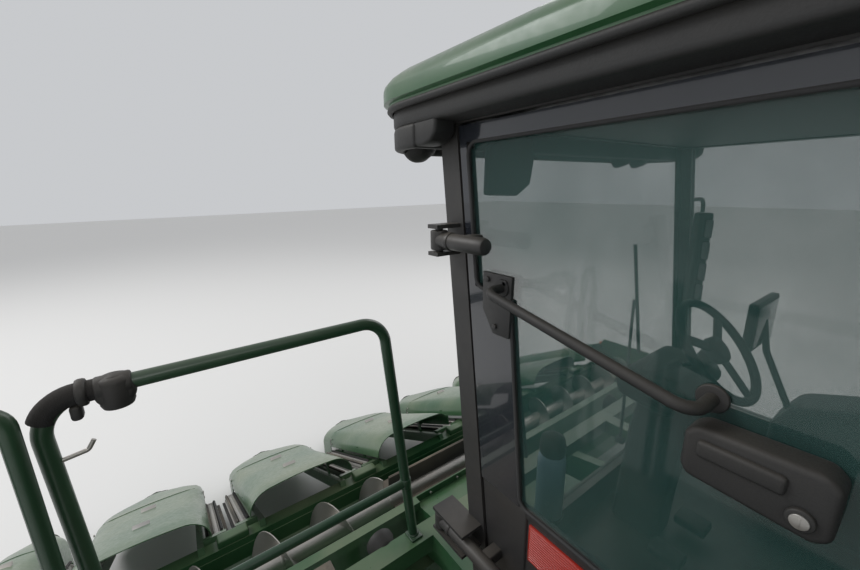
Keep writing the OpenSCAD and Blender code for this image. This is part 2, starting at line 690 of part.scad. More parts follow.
// The header's trough, end plates, toolbar, lift arms and the lugs of the lift cylinders
module header_trough() color(green) {
    difference() {
        along_x(-header_half, header_half,
            [[trough_front_y, trough_lip_z[1]], [trough_front_y, trough_lip_z[0]],
                [trough_bed_y[0], trough_low_z],
             [trough_bed_y[1], trough_low_z], [trough_back_y, trough_heel_z], [trough_back_y, trough_top_z],
             [trough_back_y + header_sheet, trough_top_z], [trough_back_y + header_sheet,
                 trough_heel_z - 4],
             [trough_bed_y[1] + 3, trough_low_z - header_sheet],
                 [trough_bed_y[0] - 3, trough_low_z - header_sheet],
             [trough_lip_y, trough_lip_z[0] - 4], [trough_lip_y, trough_lip_z[1]]]);
        block([-duct_half + header_sheet, trough_back_y - 1, duct_neck_z[0] + header_sheet],
              [duct_half - header_sheet, trough_back_y + header_sheet + 1, duct_neck_z[1] - header_sheet]);
    }
    for (side = [-1, 1]) mirror([side < 0 ? 1 : 0, 0, 0]) {
        difference() {
            along_x(header_half, header_half + 12,
                [[trough_lip_y - 142, trough_lip_z[0] + 10], [trough_bed_y[0] - 3, trough_low_z - 10],
                 [trough_bed_y[1] + 3, trough_low_z - 10], [trough_back_y + 10, trough_heel_z - 20],
                 [trough_back_y + 10, trough_top_z], [trough_lip_y - 2, trough_top_z],
                 [trough_lip_y - 142, auger_z + 50]]);
            bar_x(header_half - 1, header_half + 13, auger_y, auger_z, 60 + running);
        }
        difference() {
            along_x(arm_x - arm_t / 2, arm_x + arm_t / 2,
                [[tool_y[1] - 2, tool_z[0] + 2], [tool_y[1] - 2, tool_z[1]],
                    [tool_y[1] - 70, tool_z[1] + 62],
                 [tool_y[1] - 70, lift_z - 50], [lift_y - 150, lift_z + 90], [lift_y + 90, lift_z + 90],
                 [lift_y + 90, lift_z - 90], [lift_y - 110, lift_z - 110]]);
            bar_x(arm_x - 100, arm_x + 100, lift_y, lift_z, lift_pin_d + running);
        }
        for (x = [lift_x - 45, lift_x + 25]) along_x(x, x + 20,
            [[tool_y[0] + 20, tool_z[0] + 10], [lift_eye.x - 40, lift_eye.y - 45],
                [lift_eye.x + 40, lift_eye.y - 45],
             [lift_eye.x + 40, lift_eye.y + 40], [tool_y[1] - 2, tool_z[0] + 10]]);
        bar_x(lift_x - 60, lift_x + 60, lift_eye.x, lift_eye.y, 40);
    }
    block([-header_half, tool_y[0], tool_z[0]], [header_half, tool_y[1], tool_z[1]]);
    for (side = [-1, 1]) mirror([side < 0 ? 1 : 0, 0, 0])
        block([duct_half + 1, trough_back_y + header_sheet - 1, trough_top_z - 60],
              [header_half, trough_back_y + 60, trough_top_z]);
}

module at_row(i) { translate([row_x[i], roll_front_y, roll_front_z]) rotate([roll_slope, 0, 0])
    children(); }
shell_t = 8;
beam_in = 175;
beam_t = 40;
// The row beams reach the cross beam at the trough's lip, whatever the rolls' length
row_beam_len = (trough_lip_y - 26 - roll_front_y) / cos(roll_slope);
row_beam_z = roll_front_z + row_beam_len * sin(roll_slope);
cross_beam_y = [trough_lip_y - 92, trough_lip_y];
cross_beam_z = [trough_lip_z[1] - 70, row_beam_z - 8];

// One row's frame: two beams and the bearing plates of the rolls
module row_frame() {
    for (side = [-1, 1]) mirror([side < 0 ? 1 : 0, 0, 0]) {
        block([beam_in, -34, -50], [beam_in + beam_t, row_beam_len, 40]);
        for (y = [150, roll_len - 280]) {
            block([beam_in, y, 39], [beam_in + 12, y + 40, 160]);
            block([throat_w / 2 + shell_t, y, 110], [beam_in + 1, y + 40, 160]);
        }
        difference() {
            block([44, -34, -45], [beam_in + 1, -10, 45]);
            translate([roll_pair / 2, -35, 0]) rotate([-90, 0, 0]) cylinder(d = 30 + running, h = 30,
                $fn = small);
        }
        difference() {
            block([30, roll_len + 10, -55], [beam_in + 1, roll_len + 70, 55]);
            translate([roll_pair / 2, roll_len + 9, 0]) rotate([-90, 0, 0]) cylinder(d = 30 + running,
                h = 62, $fn = small);
        }
    }
    block([-31, roll_len + 20, -50], [31, roll_len + 60, -20]);
}

// The frames of all rows, and the cross beam that joins them to the trough
module row_frames() color(green) {
    for (i = [0 : row_count - 1]) at_row(i) row_frame();
    block([-header_half, cross_beam_y[0], cross_beam_z[0]], [header_half, cross_beam_y[1],
        cross_beam_z[1]]);
}

// A stripper roll: a shaft, a drum and its bats
module roll(i, side) color(rubber) at_row(i) translate([side * roll_pair / 2, 0, 0]) rotate([-90, 0, 0]) {
    translate([0, 0, -34]) cylinder(d = 30, h = roll_len + 90, $fn = small);
    cylinder(d = roll_d * 0.62, h = roll_len, $fn = small);
    for (k = [0 : roll_bats - 1]) rotate([0, 0, k * 360 / roll_bats])
        translate([roll_d * 0.3, -9, 0]) cube([roll_d * 0.2, 18, roll_len]);
}

shell_half = row_pitch / 2 - throat_w / 2;
front_y = roll_front_y - 60;
shell_back_y = trough_lip_y - 2;
// The side of a shell; t is 0 outside and the sheet's thickness inside
function shell_side(t) = [[front_y - (t > 0 ? 1 : 0), 375 - t * 9],
    [front_y - (t > 0 ? 1 : 0), 560 - t * 1.2],
    [roll_front_y + 580, 900 - t * 1.2], [shell_back_y - 15, trough_top_z - t * 1.2],
    [shell_back_y - t, trough_top_z - t * 1.2], [shell_back_y - t, 990 - t * 9]];
function shell_face(lo, hi, x, t) = [[lo + t, 200], [lo + t, 960 - t * 0.5],
    [x - (x - lo) * 0.45 + t * 0.5, 1185],
    [x + (hi - x) * 0.45 - t * 0.5, 1185], [hi - t, 960 - t * 0.5], [hi - t, 200]];

// A divider's shell, from the snout to the trough, open below
module divider_shell(x) {
    lo = max(x - shell_half, -header_half);
    hi = min(x + shell_half, header_half);
    difference() {
        intersection() {
            along_x(lo, hi, shell_side(0));
            along_y(front_y, shell_back_y + 60, shell_face(lo, hi, x, 0));
        }
        intersection() {
            along_x(lo, hi, shell_side(shell_t));
            along_y(front_y - 2, shell_back_y + 60, shell_face(lo, hi, x, shell_t));
        }
    }
}

// The shells between the rows and at the header's ends
module divider_shells() color(green) {
    for (x = divider_x) divider_shell(x);
}

function snout_side(t) = [[snout_tip_y + t * 6, 130 - t], [front_y - 240, 400 - t * 1.1],
    [front_y + (t > 0 ? 1 : 0), 560 - t * 1.1],
    [front_y + (t > 0 ? 1 : 0), 180 + t], [front_y - 200, 100 + t], [snout_tip_y + t * 6, 100 + t]];
function snout_plan(lo, hi, t) = [[(lo + hi) / 2 - 20, snout_tip_y - 1],
    [(lo + hi) / 2 + 20, snout_tip_y - 1], [hi - t, front_y - 100],
    [hi - t, front_y + 2], [lo + t, front_y + 2], [lo + t, front_y - 100]];

// The pointed snouts, hollow and open at the back
module divider_snouts() color(yellow) {
    for (x = divider_x) {
        lo = max(x - shell_half, -header_half);
        hi = min(x + shell_half, header_half);
        difference() {
            intersection() {
                along_x(lo, hi, snout_side(0));
                linear_extrude(1000) polygon(snout_plan(lo, hi, 0));
            }
            intersection() {
                along_x(lo, hi, snout_side(12));
                linear_extrude(1000) polygon(snout_plan(lo, hi, 12));
            }
        }
    }
}

// The duct from the trough back to the mouth of the air duct
module intake_duct() color(green) {
    back = duct_front_y - 90;
    front = trough_back_y + header_sheet;
    difference() {
        along_x(-duct_half, duct_half, [[front, duct_neck_z[0]], [back, duct_low_z],
            [back, duct_high_z - 60], [front, duct_neck_z[1]]]);
        along_x(-duct_half + header_sheet, duct_half - header_sheet, [[front - 1,
            duct_neck_z[0] + header_sheet], [back + 1, duct_low_z + header_sheet],
            [back + 1, duct_high_z - 60 - header_sheet], [front - 1, duct_neck_z[1] - header_sheet]]);
    }
}

flight_turns = (header_half - 560) / auger_pitch;

// The cross auger: its tube, the flights that bring the cotton to the middle, and the paddles there
module cross_auger() color(steel) translate([0, auger_y, auger_z]) {
    bar_x(-header_half - 40, header_half + 40, 0, 0, 60);
    bar_x(-header_half + 30, header_half - 30, 0, 0, auger_tube_d);
    for (side = [-1, 1]) mirror([side < 0 ? 1 : 0, 0, 0])
        translate([520, 0, 0]) rotate([0, 90, 0])
            linear_extrude(header_half - 560, twist = -360 * flight_turns,
                slices = round(10 * flight_turns), $fn = 4)
                polygon([[-60, -5], [auger_d / 2, -5], [auger_d / 2, 5], [-60, 5]]);
    for (a = [0 : 90 : 270]) rotate([a, 0, 0]) block([-480, -6, 50], [480, 6, auger_d / 2 - 5]);
}

lift_run = lift_eye - lift_foot;
lift_len = norm(lift_run);
lift_slope = atan2(lift_run.y, -lift_run.x);
module at_lift() {
    for (side = [-1, 1]) translate([side * lift_x, lift_foot.x, lift_foot.y]) rotate([-lift_slope, 0, 0])
        rotate([90, 0, 0]) children();
}

// The barrels of the two lift cylinders
module lift_barrels() color(dark) at_lift() difference() {
    union() {
        translate([0, 0, 80]) cylinder(d = 110, h = lift_len - 460, $fn = fine);
        translate([-18, -38, -38]) cube([36, 76, 130]);
    }
    translate([-60, 0, 0]) rotate([0, 90, 0]) cylinder(d = 50 + running, h = 120, $fn = fine);
    translate([0, 0, 100]) cylinder(d = 60 + running, h = lift_len, $fn = fine);
}

// The rods of the lift cylinders
module lift_rods() color(steel) at_lift() difference() {
    union() {
        translate([0, 0, 300]) cylinder(d = 60, h = lift_len - 355, $fn = fine);
        translate([-18, -42, lift_len - 70]) cube([36, 84, 114]);
    }
    translate([-60, 0, lift_len]) rotate([0, 90, 0]) cylinder(d = 52, h = 120, $fn = fine);
}

basket_half = basket_w / 2;
deep_half = 1150;
hood_top_z = basket_top_z + hood_h;
hood_top_half = basket_half - 350;
gate_y = [basket_front_y + 45, basket_back_y - 330];
hood_back_y = basket_back_y - 260;
gate_t = 26;
gate_top = [hood_top_half + 2, hood_top_z - 45];
gate_low = [basket_half - 14, basket_top_z + 60];
gate_n = unit([gate_top.y - gate_low.y, gate_low.x - gate_top.x]);
gate_pin = gate_top + gate_n * 25;

function basket_outline(t) = [[-basket_half + t, basket_top_z + (t > 0 ? 1 : 0)],
    [-basket_half + t, shelf_z + t],
    [-deep_half - 120 + t * 0.8, shelf_z + t], [-deep_half + t, basket_floor_z + t],
        [deep_half - t, basket_floor_z + t],
    [deep_half + 120 - t * 0.8, shelf_z + t], [basket_half - t, shelf_z + t],
        [basket_half - t, basket_top_z + (t > 0 ? 1 : 0)]];

// The basket: its walls, ribs, hinge ears and the stubs that meet the tipping rods
module basket_shell() color(green) {
    difference() {
        along_y(basket_front_y, basket_back_y, basket_outline(0));
        along_y(basket_front_y + basket_sheet, basket_back_y - basket_sheet, basket_outline(basket_sheet));
        block([-chute_half - 20, basket_front_y - 1, chute_low_z - 20],
            [chute_half + 20, basket_front_y + basket_sheet + 1, cleaner_top_z - 130]);
    }
    for (x = [-1030, -270, 500, 1310]) block([x - 35, basket_back_y - 1, abs(x)
        < deep_half ? basket_floor_z : shelf_z],
        [x + 35, basket_back_y + back_rib - 30, basket_top_z - 400]);
    for (z = [shelf_z + 30, 2900, basket_top_z - 430]) block([-basket_half, basket_back_y - 1, z],
        [basket_half, basket_back_y + 50, z + 60]);
    for (side = [-1, 1]) for (y = [basket_front_y + 60, 3200, 4130, basket_back_y - 130])
        block([side < 0 ? -basket_half - 45 : basket_half, y, shelf_z],
              [side < 0 ? -basket_half : basket_half + 45, y + 70, basket_top_z]);
    for (i = [0, 1]) {
        wall = i == 0 ? basket_front_y : basket_back_y;
        out = i == 0 ? -1 : 1;
        near = post_y[i] - out * (post_t / 2 + gap + 2);
        far = post_y[i] + out * (post_t / 2 + 30);
        difference() {
            along_y(min(near, near - out * 40), max(near, near - out * 40),
                [[basket_half - 130, tip_z - 60], [tip_x + 60, tip_z - 60], [tip_x + 60, tip_z + 60],
                    [basket_half - 130, tip_z + 60]]);
        }
        bar_y(min(near, far), max(near, far), tip_x, tip_z, tip_pin_d);
        block([basket_half - 130, min(wall, near), tip_z - 60], [basket_half, max(wall, near), tip_z + 60]);
        stub = tip_y[i] - out * 72;
        block([tip_eye.x - 50, min(wall, stub), tip_eye.y - 50],
            [tip_eye.x + 50, max(wall, stub), tip_eye.y + 50]);
    }
}

// The hood over the basket: its ends, top and right side
module basket_hood() color(cream) {
    sheet = 20;
    for (s = [0, 1]) difference() {
        intersection() {
            along_y(basket_front_y, basket_back_y, [[-basket_half, basket_top_z],
                [basket_half, basket_top_z],
                [hood_top_half, hood_top_z], [-hood_top_half, hood_top_z]]);
            along_x(-basket_half, basket_half, [[basket_front_y, basket_top_z],
                [basket_back_y, basket_top_z],
                [hood_back_y, hood_top_z], [basket_front_y + 60, hood_top_z]]);
        }
        intersection() {
            along_y(basket_front_y - 1, basket_back_y + 1, [[-basket_half + sheet * 1.1,
                basket_top_z - 1], [basket_half - sheet * 1.1, basket_top_z - 1],
                [hood_top_half - sheet * 0.8, hood_top_z - sheet],
                    [-hood_top_half + sheet * 0.8, hood_top_z - sheet]]);
            along_x(-basket_half, basket_half, [[basket_front_y + sheet, basket_top_z - 1],
                [basket_back_y - sheet * 1.1, basket_top_z - 1],
                [hood_back_y - sheet * 0.8, hood_top_z - sheet],
                    [basket_front_y + 60 + sheet, hood_top_z - sheet]]);
        }
        block([hood_top_half - 40, gate_y[0] - 8, basket_top_z + 50],
            [basket_half + 10, gate_y[1] + 8, hood_top_z - 18]);
        bar_y(gate_y[0] - 50, gate_y[1] + 50, gate_pin.x, gate_pin.y, 24 + 4 * gap);
    }
    for (y = [gate_y[0] - 40, gate_y[1] + 10]) difference() {
        block([gate_pin.x - 45, y, gate_pin.y - 25], [gate_pin.x + 25, y + 30, gate_pin.y + 25]);
        bar_y(y - 1, y + 31, gate_pin.x, gate_pin.y, 24 + running);
    }
}

// The gate on the hood's left side, hinged along its top
module dump_gate() color(dark) {
    n = gate_n;
    along_y(gate_y[0] + 2, gate_y[1] - 2, [gate_top + n * 12, gate_low + n * 12,
        gate_low + n * (12 + gate_t), gate_top + n * (12 + gate_t)]);
    bar_y(gate_y[0] - 40, gate_y[1] + 40, gate_pin.x, gate_pin.y, 24);
}

tip_run = tip_eye - tip_foot;
tip_len = norm(tip_run);
tip_lean = atan2(tip_run.x, tip_run.y);
module at_tip() {
    for (y = tip_y) translate([tip_foot.x, y, tip_foot.y]) rotate([0, tip_lean, 0]) children();
}

// The barrels of the two tipping cylinders
module tip_barrels() color(dark) at_tip() difference() {
    union() {
        translate([0, 0, 60]) cylinder(d = 120, h = tip_len - 250, $fn = fine);
        translate([0, 40, 0]) rotate([90, 0, 0]) cylinder(d = 130, h = 80, $fn = fine);
    }
    translate([0, 60, 0]) rotate([90, 0, 0]) cylinder(d = tip_pin_d + running, h = 120, $fn = fine);
    translate([0, 0, 110]) cylinder(d = 70 + running, h = tip_len, $fn = fine);
}

// The rods of the tipping cylinders
module tip_rods() color(steel) at_tip() difference() {
    union() {
        translate([0, 0, 120]) cylinder(d = 70, h = tip_len - 160, $fn = fine);
        translate([0, 40, tip_len]) rotate([90, 0, 0]) cylinder(d = 130, h = 80, $fn = fine);
    }
    translate([0, 60, tip_len]) rotate([90, 0, 0]) cylinder(d = 60, h = 120, $fn = fine);
}

drive_rim_d = 980;
steer_rim_d = 740;

// A tyre's outline about its axle, turned about z; sunk is how far the crown lies under the lugs' tops
module tyre(d, w, rim, sunk) {
    r = d / 2;
    rotate([0, 90, 0]) rotate_extrude($fn = 64) polygon([[rim / 2, -w * 0.4], [rim / 2 + 40, -w * 0.44],
        [r * 0.72, -w / 2],
        [r * 0.86, -w / 2], [r * 0.95, -w * 0.45], [r - sunk, -w * 0.3], [r - sunk, w * 0.3],
            [r * 0.95, w * 0.45],
        [r * 0.86, w / 2], [r * 0.72, w / 2], [rim / 2 + 40, w * 0.44], [rim / 2, w * 0.4]]);
}

// The lugs of the drive tyre, in two slanted rows
module lugs(d, w) {
    for (k = [0 : lug_count - 1]) for (s = [-1, 1])
        rotate([(k + s * 0.25) * 360 / lug_count, 0, 0]) translate([s * w * 0.235, 0, d / 2 - lug_h - 8])
            rotate([0, 0, s * 22]) translate([-w * 0.235, -24, 0]) cube([w * 0.47, 48, lug_h + 30]);
}

module drive_tyre() color(rubber) {
    tyre(drive_tyre_d, drive_tyre_w, drive_rim_d, lug_h);
    intersection() {
        lugs(drive_tyre_d, drive_tyre_w);
        bar_x(-drive_tyre_w / 2, drive_tyre_w / 2, 0, 0, drive_tyre_d, 96);
    }
}
module steer_tyre() color(rubber) { tyre(steer_tyre_d, steer_tyre_w, steer_rim_d, 0); }

// A rim with its disc and hub; the disc lies at x = disc_x, out is +x
module rim(d, w, disc_x, hub_d, bore, hub_x0, hub_x1) difference() {
    union() {
        rotate([0, 90, 0]) rotate_extrude($fn = 64) polygon([[d / 2 - 22, -w * 0.4], [d / 2, -w * 0.4],
            [d / 2, w * 0.4], [d / 2 - 22, w * 0.4]]);
        bar_x(disc_x, disc_x + 24, 0, 0, d - 30, 64);
        bar_x(hub_x0, hub_x1, 0, 0, hub_d);
    }
    bar_x(hub_x0 - 1, hub_x1 + 1, 0, 0, bore);
}

module drive_side(s) { translate([s * drive_tread / 2, 0, drive_hub_z]) mirror([s < 0 ? 1 : 0, 0, 0])
    children(); }
module steer_side(s) { translate([s * steer_tread / 2, wheelbase, steer_hub_z]) mirror([s < 0 ? 1 : 0, 0,
    0]) children(); }
module drive_rim() color(yellow) rim(drive_rim_d, drive_tyre_w, 60, 260, 160 + running, -100, 105);
module steer_rim() color(yellow) rim(steer_rim_d, steer_tyre_w, 30, 180, 90 + running, -90, 95);
module drive_tyre_left() drive_side(1) drive_tyre();
module drive_tyre_right() drive_side(-1) drive_tyre();
module drive_rim_left() drive_side(1) drive_rim();
module drive_rim_right() drive_side(-1) drive_rim();
module steer_tyre_left() steer_side(1) steer_tyre();
module steer_tyre_right() steer_side(-1) steer_tyre();
module steer_rim_left() steer_side(1) steer_rim();
module steer_rim_right() steer_side(-1) steer_rim();

arm_back = 260;

// The steering knuckle of the left side: the sleeve on the kingpin, the spindle and the steering arm
module knuckle() color(green) translate([kingpin_x, wheelbase, 0]) difference() {
    union() {
        translate([0, 0, 656]) cylinder(d = 130, h = 93, $fn = fine);
        translate([0, 0, 820]) cylinder(d = 130, h = 30, $fn = fine);
        translate([0, 0, 562]) cylinder(d = 130, h = 22, $fn = fine);
        bar_x(90, steer_tread / 2 - kingpin_x + 110, 0, steer_hub_z, 90);
        block([55, -45, 660], [95, 45, 745]);
        block([88, -45, 562], [130, 45, 850]);
        block([0, -45, 820], [130, 45, 850]);
        block([0, -45, 562], [130, 45, 584]);
        block([-30, 0, 562], [30, arm_back, 584]);
        translate([0, arm_back, 562]) cylinder(d = 90, h = 22, $fn = fine);
        translate([0, arm_back, 500]) cylinder(d = 30, h = 84, $fn = fine);
    }
    translate([0, 0, 540]) cylinder(d = 60 + running, h = 340, $fn = fine);
}
module knuckle_left() knuckle();
module knuckle_right() mirror([1, 0, 0]) knuckle();

// The tie rod between the two steering arms
module tie_rod() color(steel) difference() {
    union() {
        bar_x(-kingpin_x, kingpin_x, wheelbase + arm_back, 535, 44);
        for (s = [-1, 1]) translate([s * kingpin_x, wheelbase + arm_back, 514]) cylinder(d = 84, h = 42,
            $fn = fine);
    }
    translate([kingpin_x, wheelbase + arm_back, 500]) cylinder(d = 30 + running, h = 80, $fn = fine);
    translate([-kingpin_x, wheelbase + arm_back, 500]) cylinder(d = 44, h = 80, $fn = fine);
}

machine() main_frame();
machine() front_axle();
machine() rear_axle();
machine() engine_block();
machine() engine_housing();
machine() side_tanks();
machine() rear_locker();
machine() field_cleaner();
machine() air_duct();
machine() blower();
machine() exhaust_stack();
machine() cab_shell();
machine() cab_roof();
machine() cab_visor();
machine() cab_glass();
machine() operator_seat();
machine() cab_controls();
machine() steering_wheel();
machine() platform();
machine() handrails();
machine() ladders();
machine() lamps_mirrors();
machine() door_frame();
machine() door_glass();
machine() header_trough();
machine() row_frames();
machine() divider_shells();
machine() divider_snouts();
machine() intake_duct();
machine() cross_auger();
machine() lift_barrels();
machine() lift_rods();
machine() basket_shell();
machine() basket_hood();
machine() dump_gate();
machine() tip_barrels();
machine() tip_rods();
machine() drive_tyre_left();
machine() drive_rim_left();
machine() drive_tyre_right();
machine() drive_rim_right();
machine() knuckle_left();
machine() knuckle_right();
machine() tie_rod();
machine() steer_tyre_left();
machine() steer_rim_left();
machine() steer_tyre_right();
machine() steer_rim_right();
for (i = [0 : row_count - 1]) {
    machine() roll(i, 1);
    machine() roll(i, -1);
}
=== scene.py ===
# %% [markdown]
# A cotton harvester stands on a plain pale floor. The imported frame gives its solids, in metres: +Z is up, the
# front with the row header faces -Y, and the machine's left side, with the door and the ladder, is +X.
# Pieces are modelled here over that frame, and each one rides on the body that carries it.

# %% Load the frame
import bpy, math
from mathutils import Matrix, Vector


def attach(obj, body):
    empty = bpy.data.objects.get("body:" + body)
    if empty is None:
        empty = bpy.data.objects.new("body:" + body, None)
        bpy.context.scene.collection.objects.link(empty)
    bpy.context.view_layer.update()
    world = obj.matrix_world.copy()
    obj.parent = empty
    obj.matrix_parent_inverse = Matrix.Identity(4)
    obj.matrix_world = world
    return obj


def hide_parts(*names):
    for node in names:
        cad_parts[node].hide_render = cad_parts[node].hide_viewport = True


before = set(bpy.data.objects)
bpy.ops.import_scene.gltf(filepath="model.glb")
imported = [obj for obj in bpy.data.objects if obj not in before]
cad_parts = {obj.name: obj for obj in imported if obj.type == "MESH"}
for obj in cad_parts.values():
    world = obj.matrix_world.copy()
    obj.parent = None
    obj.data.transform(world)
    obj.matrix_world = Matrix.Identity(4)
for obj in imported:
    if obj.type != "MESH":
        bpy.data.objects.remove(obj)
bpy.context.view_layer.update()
shift = -0.415

# %% [markdown]
# The photograph looks forward from the platform beside the cab, through a wide lens. Its lines give the place: the
# rails and the roof's edge run to vanishing points that fix the turn and the tilt, and the cab's pillar and door,
# at usual sizes, fix the distance. So the camera is set from those numbers.

# %% The camera at the photograph's place
def aim(place, turn, tilt, roll):
    look = Vector((-math.sin(turn) * math.cos(tilt), -math.cos(turn) * math.cos(tilt), -math.sin(tilt)))
    matrix = look.to_track_quat("-Z", "Y").to_matrix() @ Matrix.Rotation(roll, 3, "Z")
    return Matrix.Translation(place) @ matrix.to_4x4()

bpy.ops.object.select_all(action="DESELECT")
bpy.ops.object.camera_add()
camera = bpy.context.object
camera.name = "photo_camera"
camera.data.sensor_width = 36.0
camera.data.lens = 16.0
camera.data.clip_start = 0.02
camera.data.clip_end = 200.0
camera.matrix_world = aim((1.645, -0.22 + shift, 3.22), math.radians(35.8), math.radians(14.4),
                          math.radians(-1.0))
bpy.context.scene.camera = camera
print("camera", tuple(round(v, 3) for v in camera.location))

# %% [markdown]
# Soft studio light: a pale world for an even level, and two large area lamps that give the sheet metal a side
# and the glass something to reflect. The floor is a plain sheet and isn't part of the model.

# %% Light and floor
def lamp(name, place, target, size, power):
    bpy.ops.object.light_add(type="AREA", location=place)
    light = bpy.context.object
    light.name = name
    light.data.size = size
    light.data.energy = power
    way = Vector(target) - Vector(place)
    light.rotation_euler = way.to_track_quat("-Z", "Y").to_euler()
    return light

world = bpy.data.worlds.new("studio")
bpy.context.scene.world = world
world.use_nodes = True
world.node_tree.nodes["Background"].inputs[0].default_value = (0.93, 0.95, 0.98, 1)
world.node_tree.nodes["Background"].inputs[1].default_value = 0.62
lamp("key_lamp", (11, -12, 14), (0, 0, 2), 8, 1200)
lamp("fill_lamp", (-11, -7, 10), (0, 0, 2), 8, 360)
lamp("back_lamp", (2, 14, 11), (0, 0, 2.5), 8, 480)
bpy.context.scene.view_settings.view_transform = "Standard"

bpy.ops.mesh.primitive_plane_add(size=120, location=(0, 0, 0))
floor = bpy.context.object
floor.name = "floor"
floor_paint = bpy.data.materials.new("floor_paint")
floor_paint.use_nodes = True
floor_paint.node_tree.nodes["Principled BSDF"].inputs["Base Color"].default_value = (0.80, 0.79, 0.77, 1)
floor_paint.node_tree.nodes["Principled BSDF"].inputs["Roughness"].default_value = 0.9
floor.data.materials.append(floor_paint)

# %% [markdown]
# Every finish is made from nodes. Paint on a farm machine is smooth but never clean: dust lies on the faces that
# look up and in a soft patchwork everywhere, and the edges are rubbed a little paler. So one helper mixes a clean
# colour with dust by the face's upward slope and a noise, and another noise moves the roughness and the bump.

# %% A helper for dusty, uneven finishes
def finish_of(name, colour, roughness=0.4, metal=0.0, dust=0.25, grain=40.0, bump=0.05, coat=0.0, shade=0.25,
              dust_colour=(0.46, 0.38, 0.28), stretch=(1, 1, 1), specular=0.5):
    material = bpy.data.materials.new(name)
    material.use_nodes = True
    nodes, links = material.node_tree.nodes, material.node_tree.links
    shader = nodes["Principled BSDF"]
    shader.inputs["Metallic"].default_value = metal
    shader.inputs["Coat Weight"].default_value = coat
    shader.inputs["Specular IOR Level"].default_value = specular
    place = nodes.new("ShaderNodeTexCoord")
    turn = nodes.new("ShaderNodeMapping")
    turn.inputs["Scale"].default_value = stretch
    links.new(place.outputs["Object"], turn.inputs["Vector"])
    broad, fine = nodes.new("ShaderNodeTexNoise"), nodes.new("ShaderNodeTexNoise")
    broad.inputs["Scale"].default_value, broad.inputs["Detail"].default_value = 1.7, 6
    fine.inputs["Scale"].default_value, fine.inputs["Detail"].default_value = grain, 4
    for noise in (broad, fine):
        links.new(turn.outputs["Vector"], noise.inputs["Vector"])
    tone = nodes.new("ShaderNodeMix")
    tone.data_type = "RGBA"
    tone.inputs["A"].default_value = (*[c * (1 - shade) for c in colour], 1)
    tone.inputs["B"].default_value = (*[min(1, c * (1 + shade)) for c in colour], 1)
    links.new(broad.outputs["Fac"], tone.inputs["Factor"])
    form = nodes.new("ShaderNodeNewGeometry")
    slope = nodes.new("ShaderNodeSeparateXYZ")
    links.new(form.outputs["Normal"], slope.inputs["Vector"])
    upward = nodes.new("ShaderNodeMapRange")
    upward.inputs["From Min"].default_value, upward.inputs["From Max"].default_value = -0.2, 1.0
    upward.inputs["To Min"].default_value, upward.inputs["To Max"].default_value = 0.12, 1.0
    links.new(slope.outputs["Z"], upward.inputs["Value"])
    patches = nodes.new("ShaderNodeMapRange")
    patches.inputs["From Min"].default_value, patches.inputs["From Max"].default_value = 0.35, 0.75
    patches.inputs["To Min"].default_value, patches.inputs["To Max"].default_value = 0.15 * dust, 1.6 * dust
    links.new(broad.outputs["Fac"], patches.inputs["Value"])
    share = nodes.new("ShaderNodeMath")
    share.operation = "MULTIPLY"
    links.new(upward.outputs["Result"], share.inputs[0])
    links.new(patches.outputs["Result"], share.inputs[1])
    mixed = nodes.new("ShaderNodeMix")
    mixed.data_type = "RGBA"
    mixed.inputs["B"].default_value = (*dust_colour, 1)
    links.new(share.outputs[0], mixed.inputs["Factor"])
    links.new(tone.outputs["Result"], mixed.inputs["A"])
    links.new(mixed.outputs["Result"], shader.inputs["Base Color"])
    gloss = nodes.new("ShaderNodeMapRange")
    gloss.inputs["To Min"].default_value = max(0.05, roughness - 0.1)
    gloss.inputs["To Max"].default_value = min(1, roughness + 0.18)
    links.new(fine.outputs["Fac"], gloss.inputs["Value"])
    links.new(gloss.outputs["Result"], shader.inputs["Roughness"])
    relief = nodes.new("ShaderNodeBump")
    relief.inputs["Strength"].default_value = bump
    relief.inputs["Distance"].default_value = 0.004
    links.new(fine.outputs["Fac"], relief.inputs["Height"])
    links.new(relief.outputs["Normal"], shader.inputs["Normal"])
    return material

# %% [markdown]
# The paints, plastics and metals. The green is deep and dusty, the cab's frame is a near-black plastic and paint,
# the rims are yellow, and the hood over the basket carries a coat of tan dust from the field.

# %% Paint, plastic, rubber and metal
green_paint = finish_of("green_paint", (0.018, 0.100, 0.034), roughness=0.30, dust=0.22, coat=0.25, bump=0.03)
rail_green = finish_of("rail_green", (0.010, 0.050, 0.022), roughness=0.34, dust=0.10, coat=0.2, bump=0.06,
                       grain=90)
dusty_green = finish_of("dusty_green", (0.028, 0.115, 0.040), roughness=0.6, dust=0.60, bump=0.1)
dusty_tan = finish_of("dusty_tan", (0.36, 0.27, 0.16), roughness=0.85, dust=0.6, bump=0.15, grain=25,
                      dust_colour=(0.50, 0.40, 0.27))
dark_paint = finish_of("dark_paint", (0.022, 0.023, 0.025), roughness=0.42, dust=0.16, bump=0.05)
dark_plastic = finish_of("dark_plastic", (0.016, 0.017, 0.018), roughness=0.55, dust=0.10, bump=0.12,
                         grain=260)
soft_plastic = finish_of("soft_plastic", (0.03, 0.031, 0.033), roughness=0.7, dust=0.08, bump=0.15, grain=320)
yellow_paint = finish_of("yellow_paint", (0.72, 0.44, 0.03), roughness=0.35, dust=0.35, coat=0.2, bump=0.04)
tyre_rubber = finish_of("tyre_rubber", (0.028, 0.027, 0.026), roughness=0.8, dust=0.55, bump=0.2, grain=120)
bat_rubber = finish_of("bat_rubber", (0.025, 0.025, 0.026), roughness=0.75, dust=0.4, bump=0.2, grain=150)
worn_steel = finish_of("worn_steel", (0.45, 0.44, 0.42), roughness=0.38, metal=0.9, dust=0.25, bump=0.08,
                       grain=70)
rod_chrome = finish_of("rod_chrome", (0.78, 0.79, 0.80), roughness=0.12, metal=1.0, dust=0.04, bump=0.01)
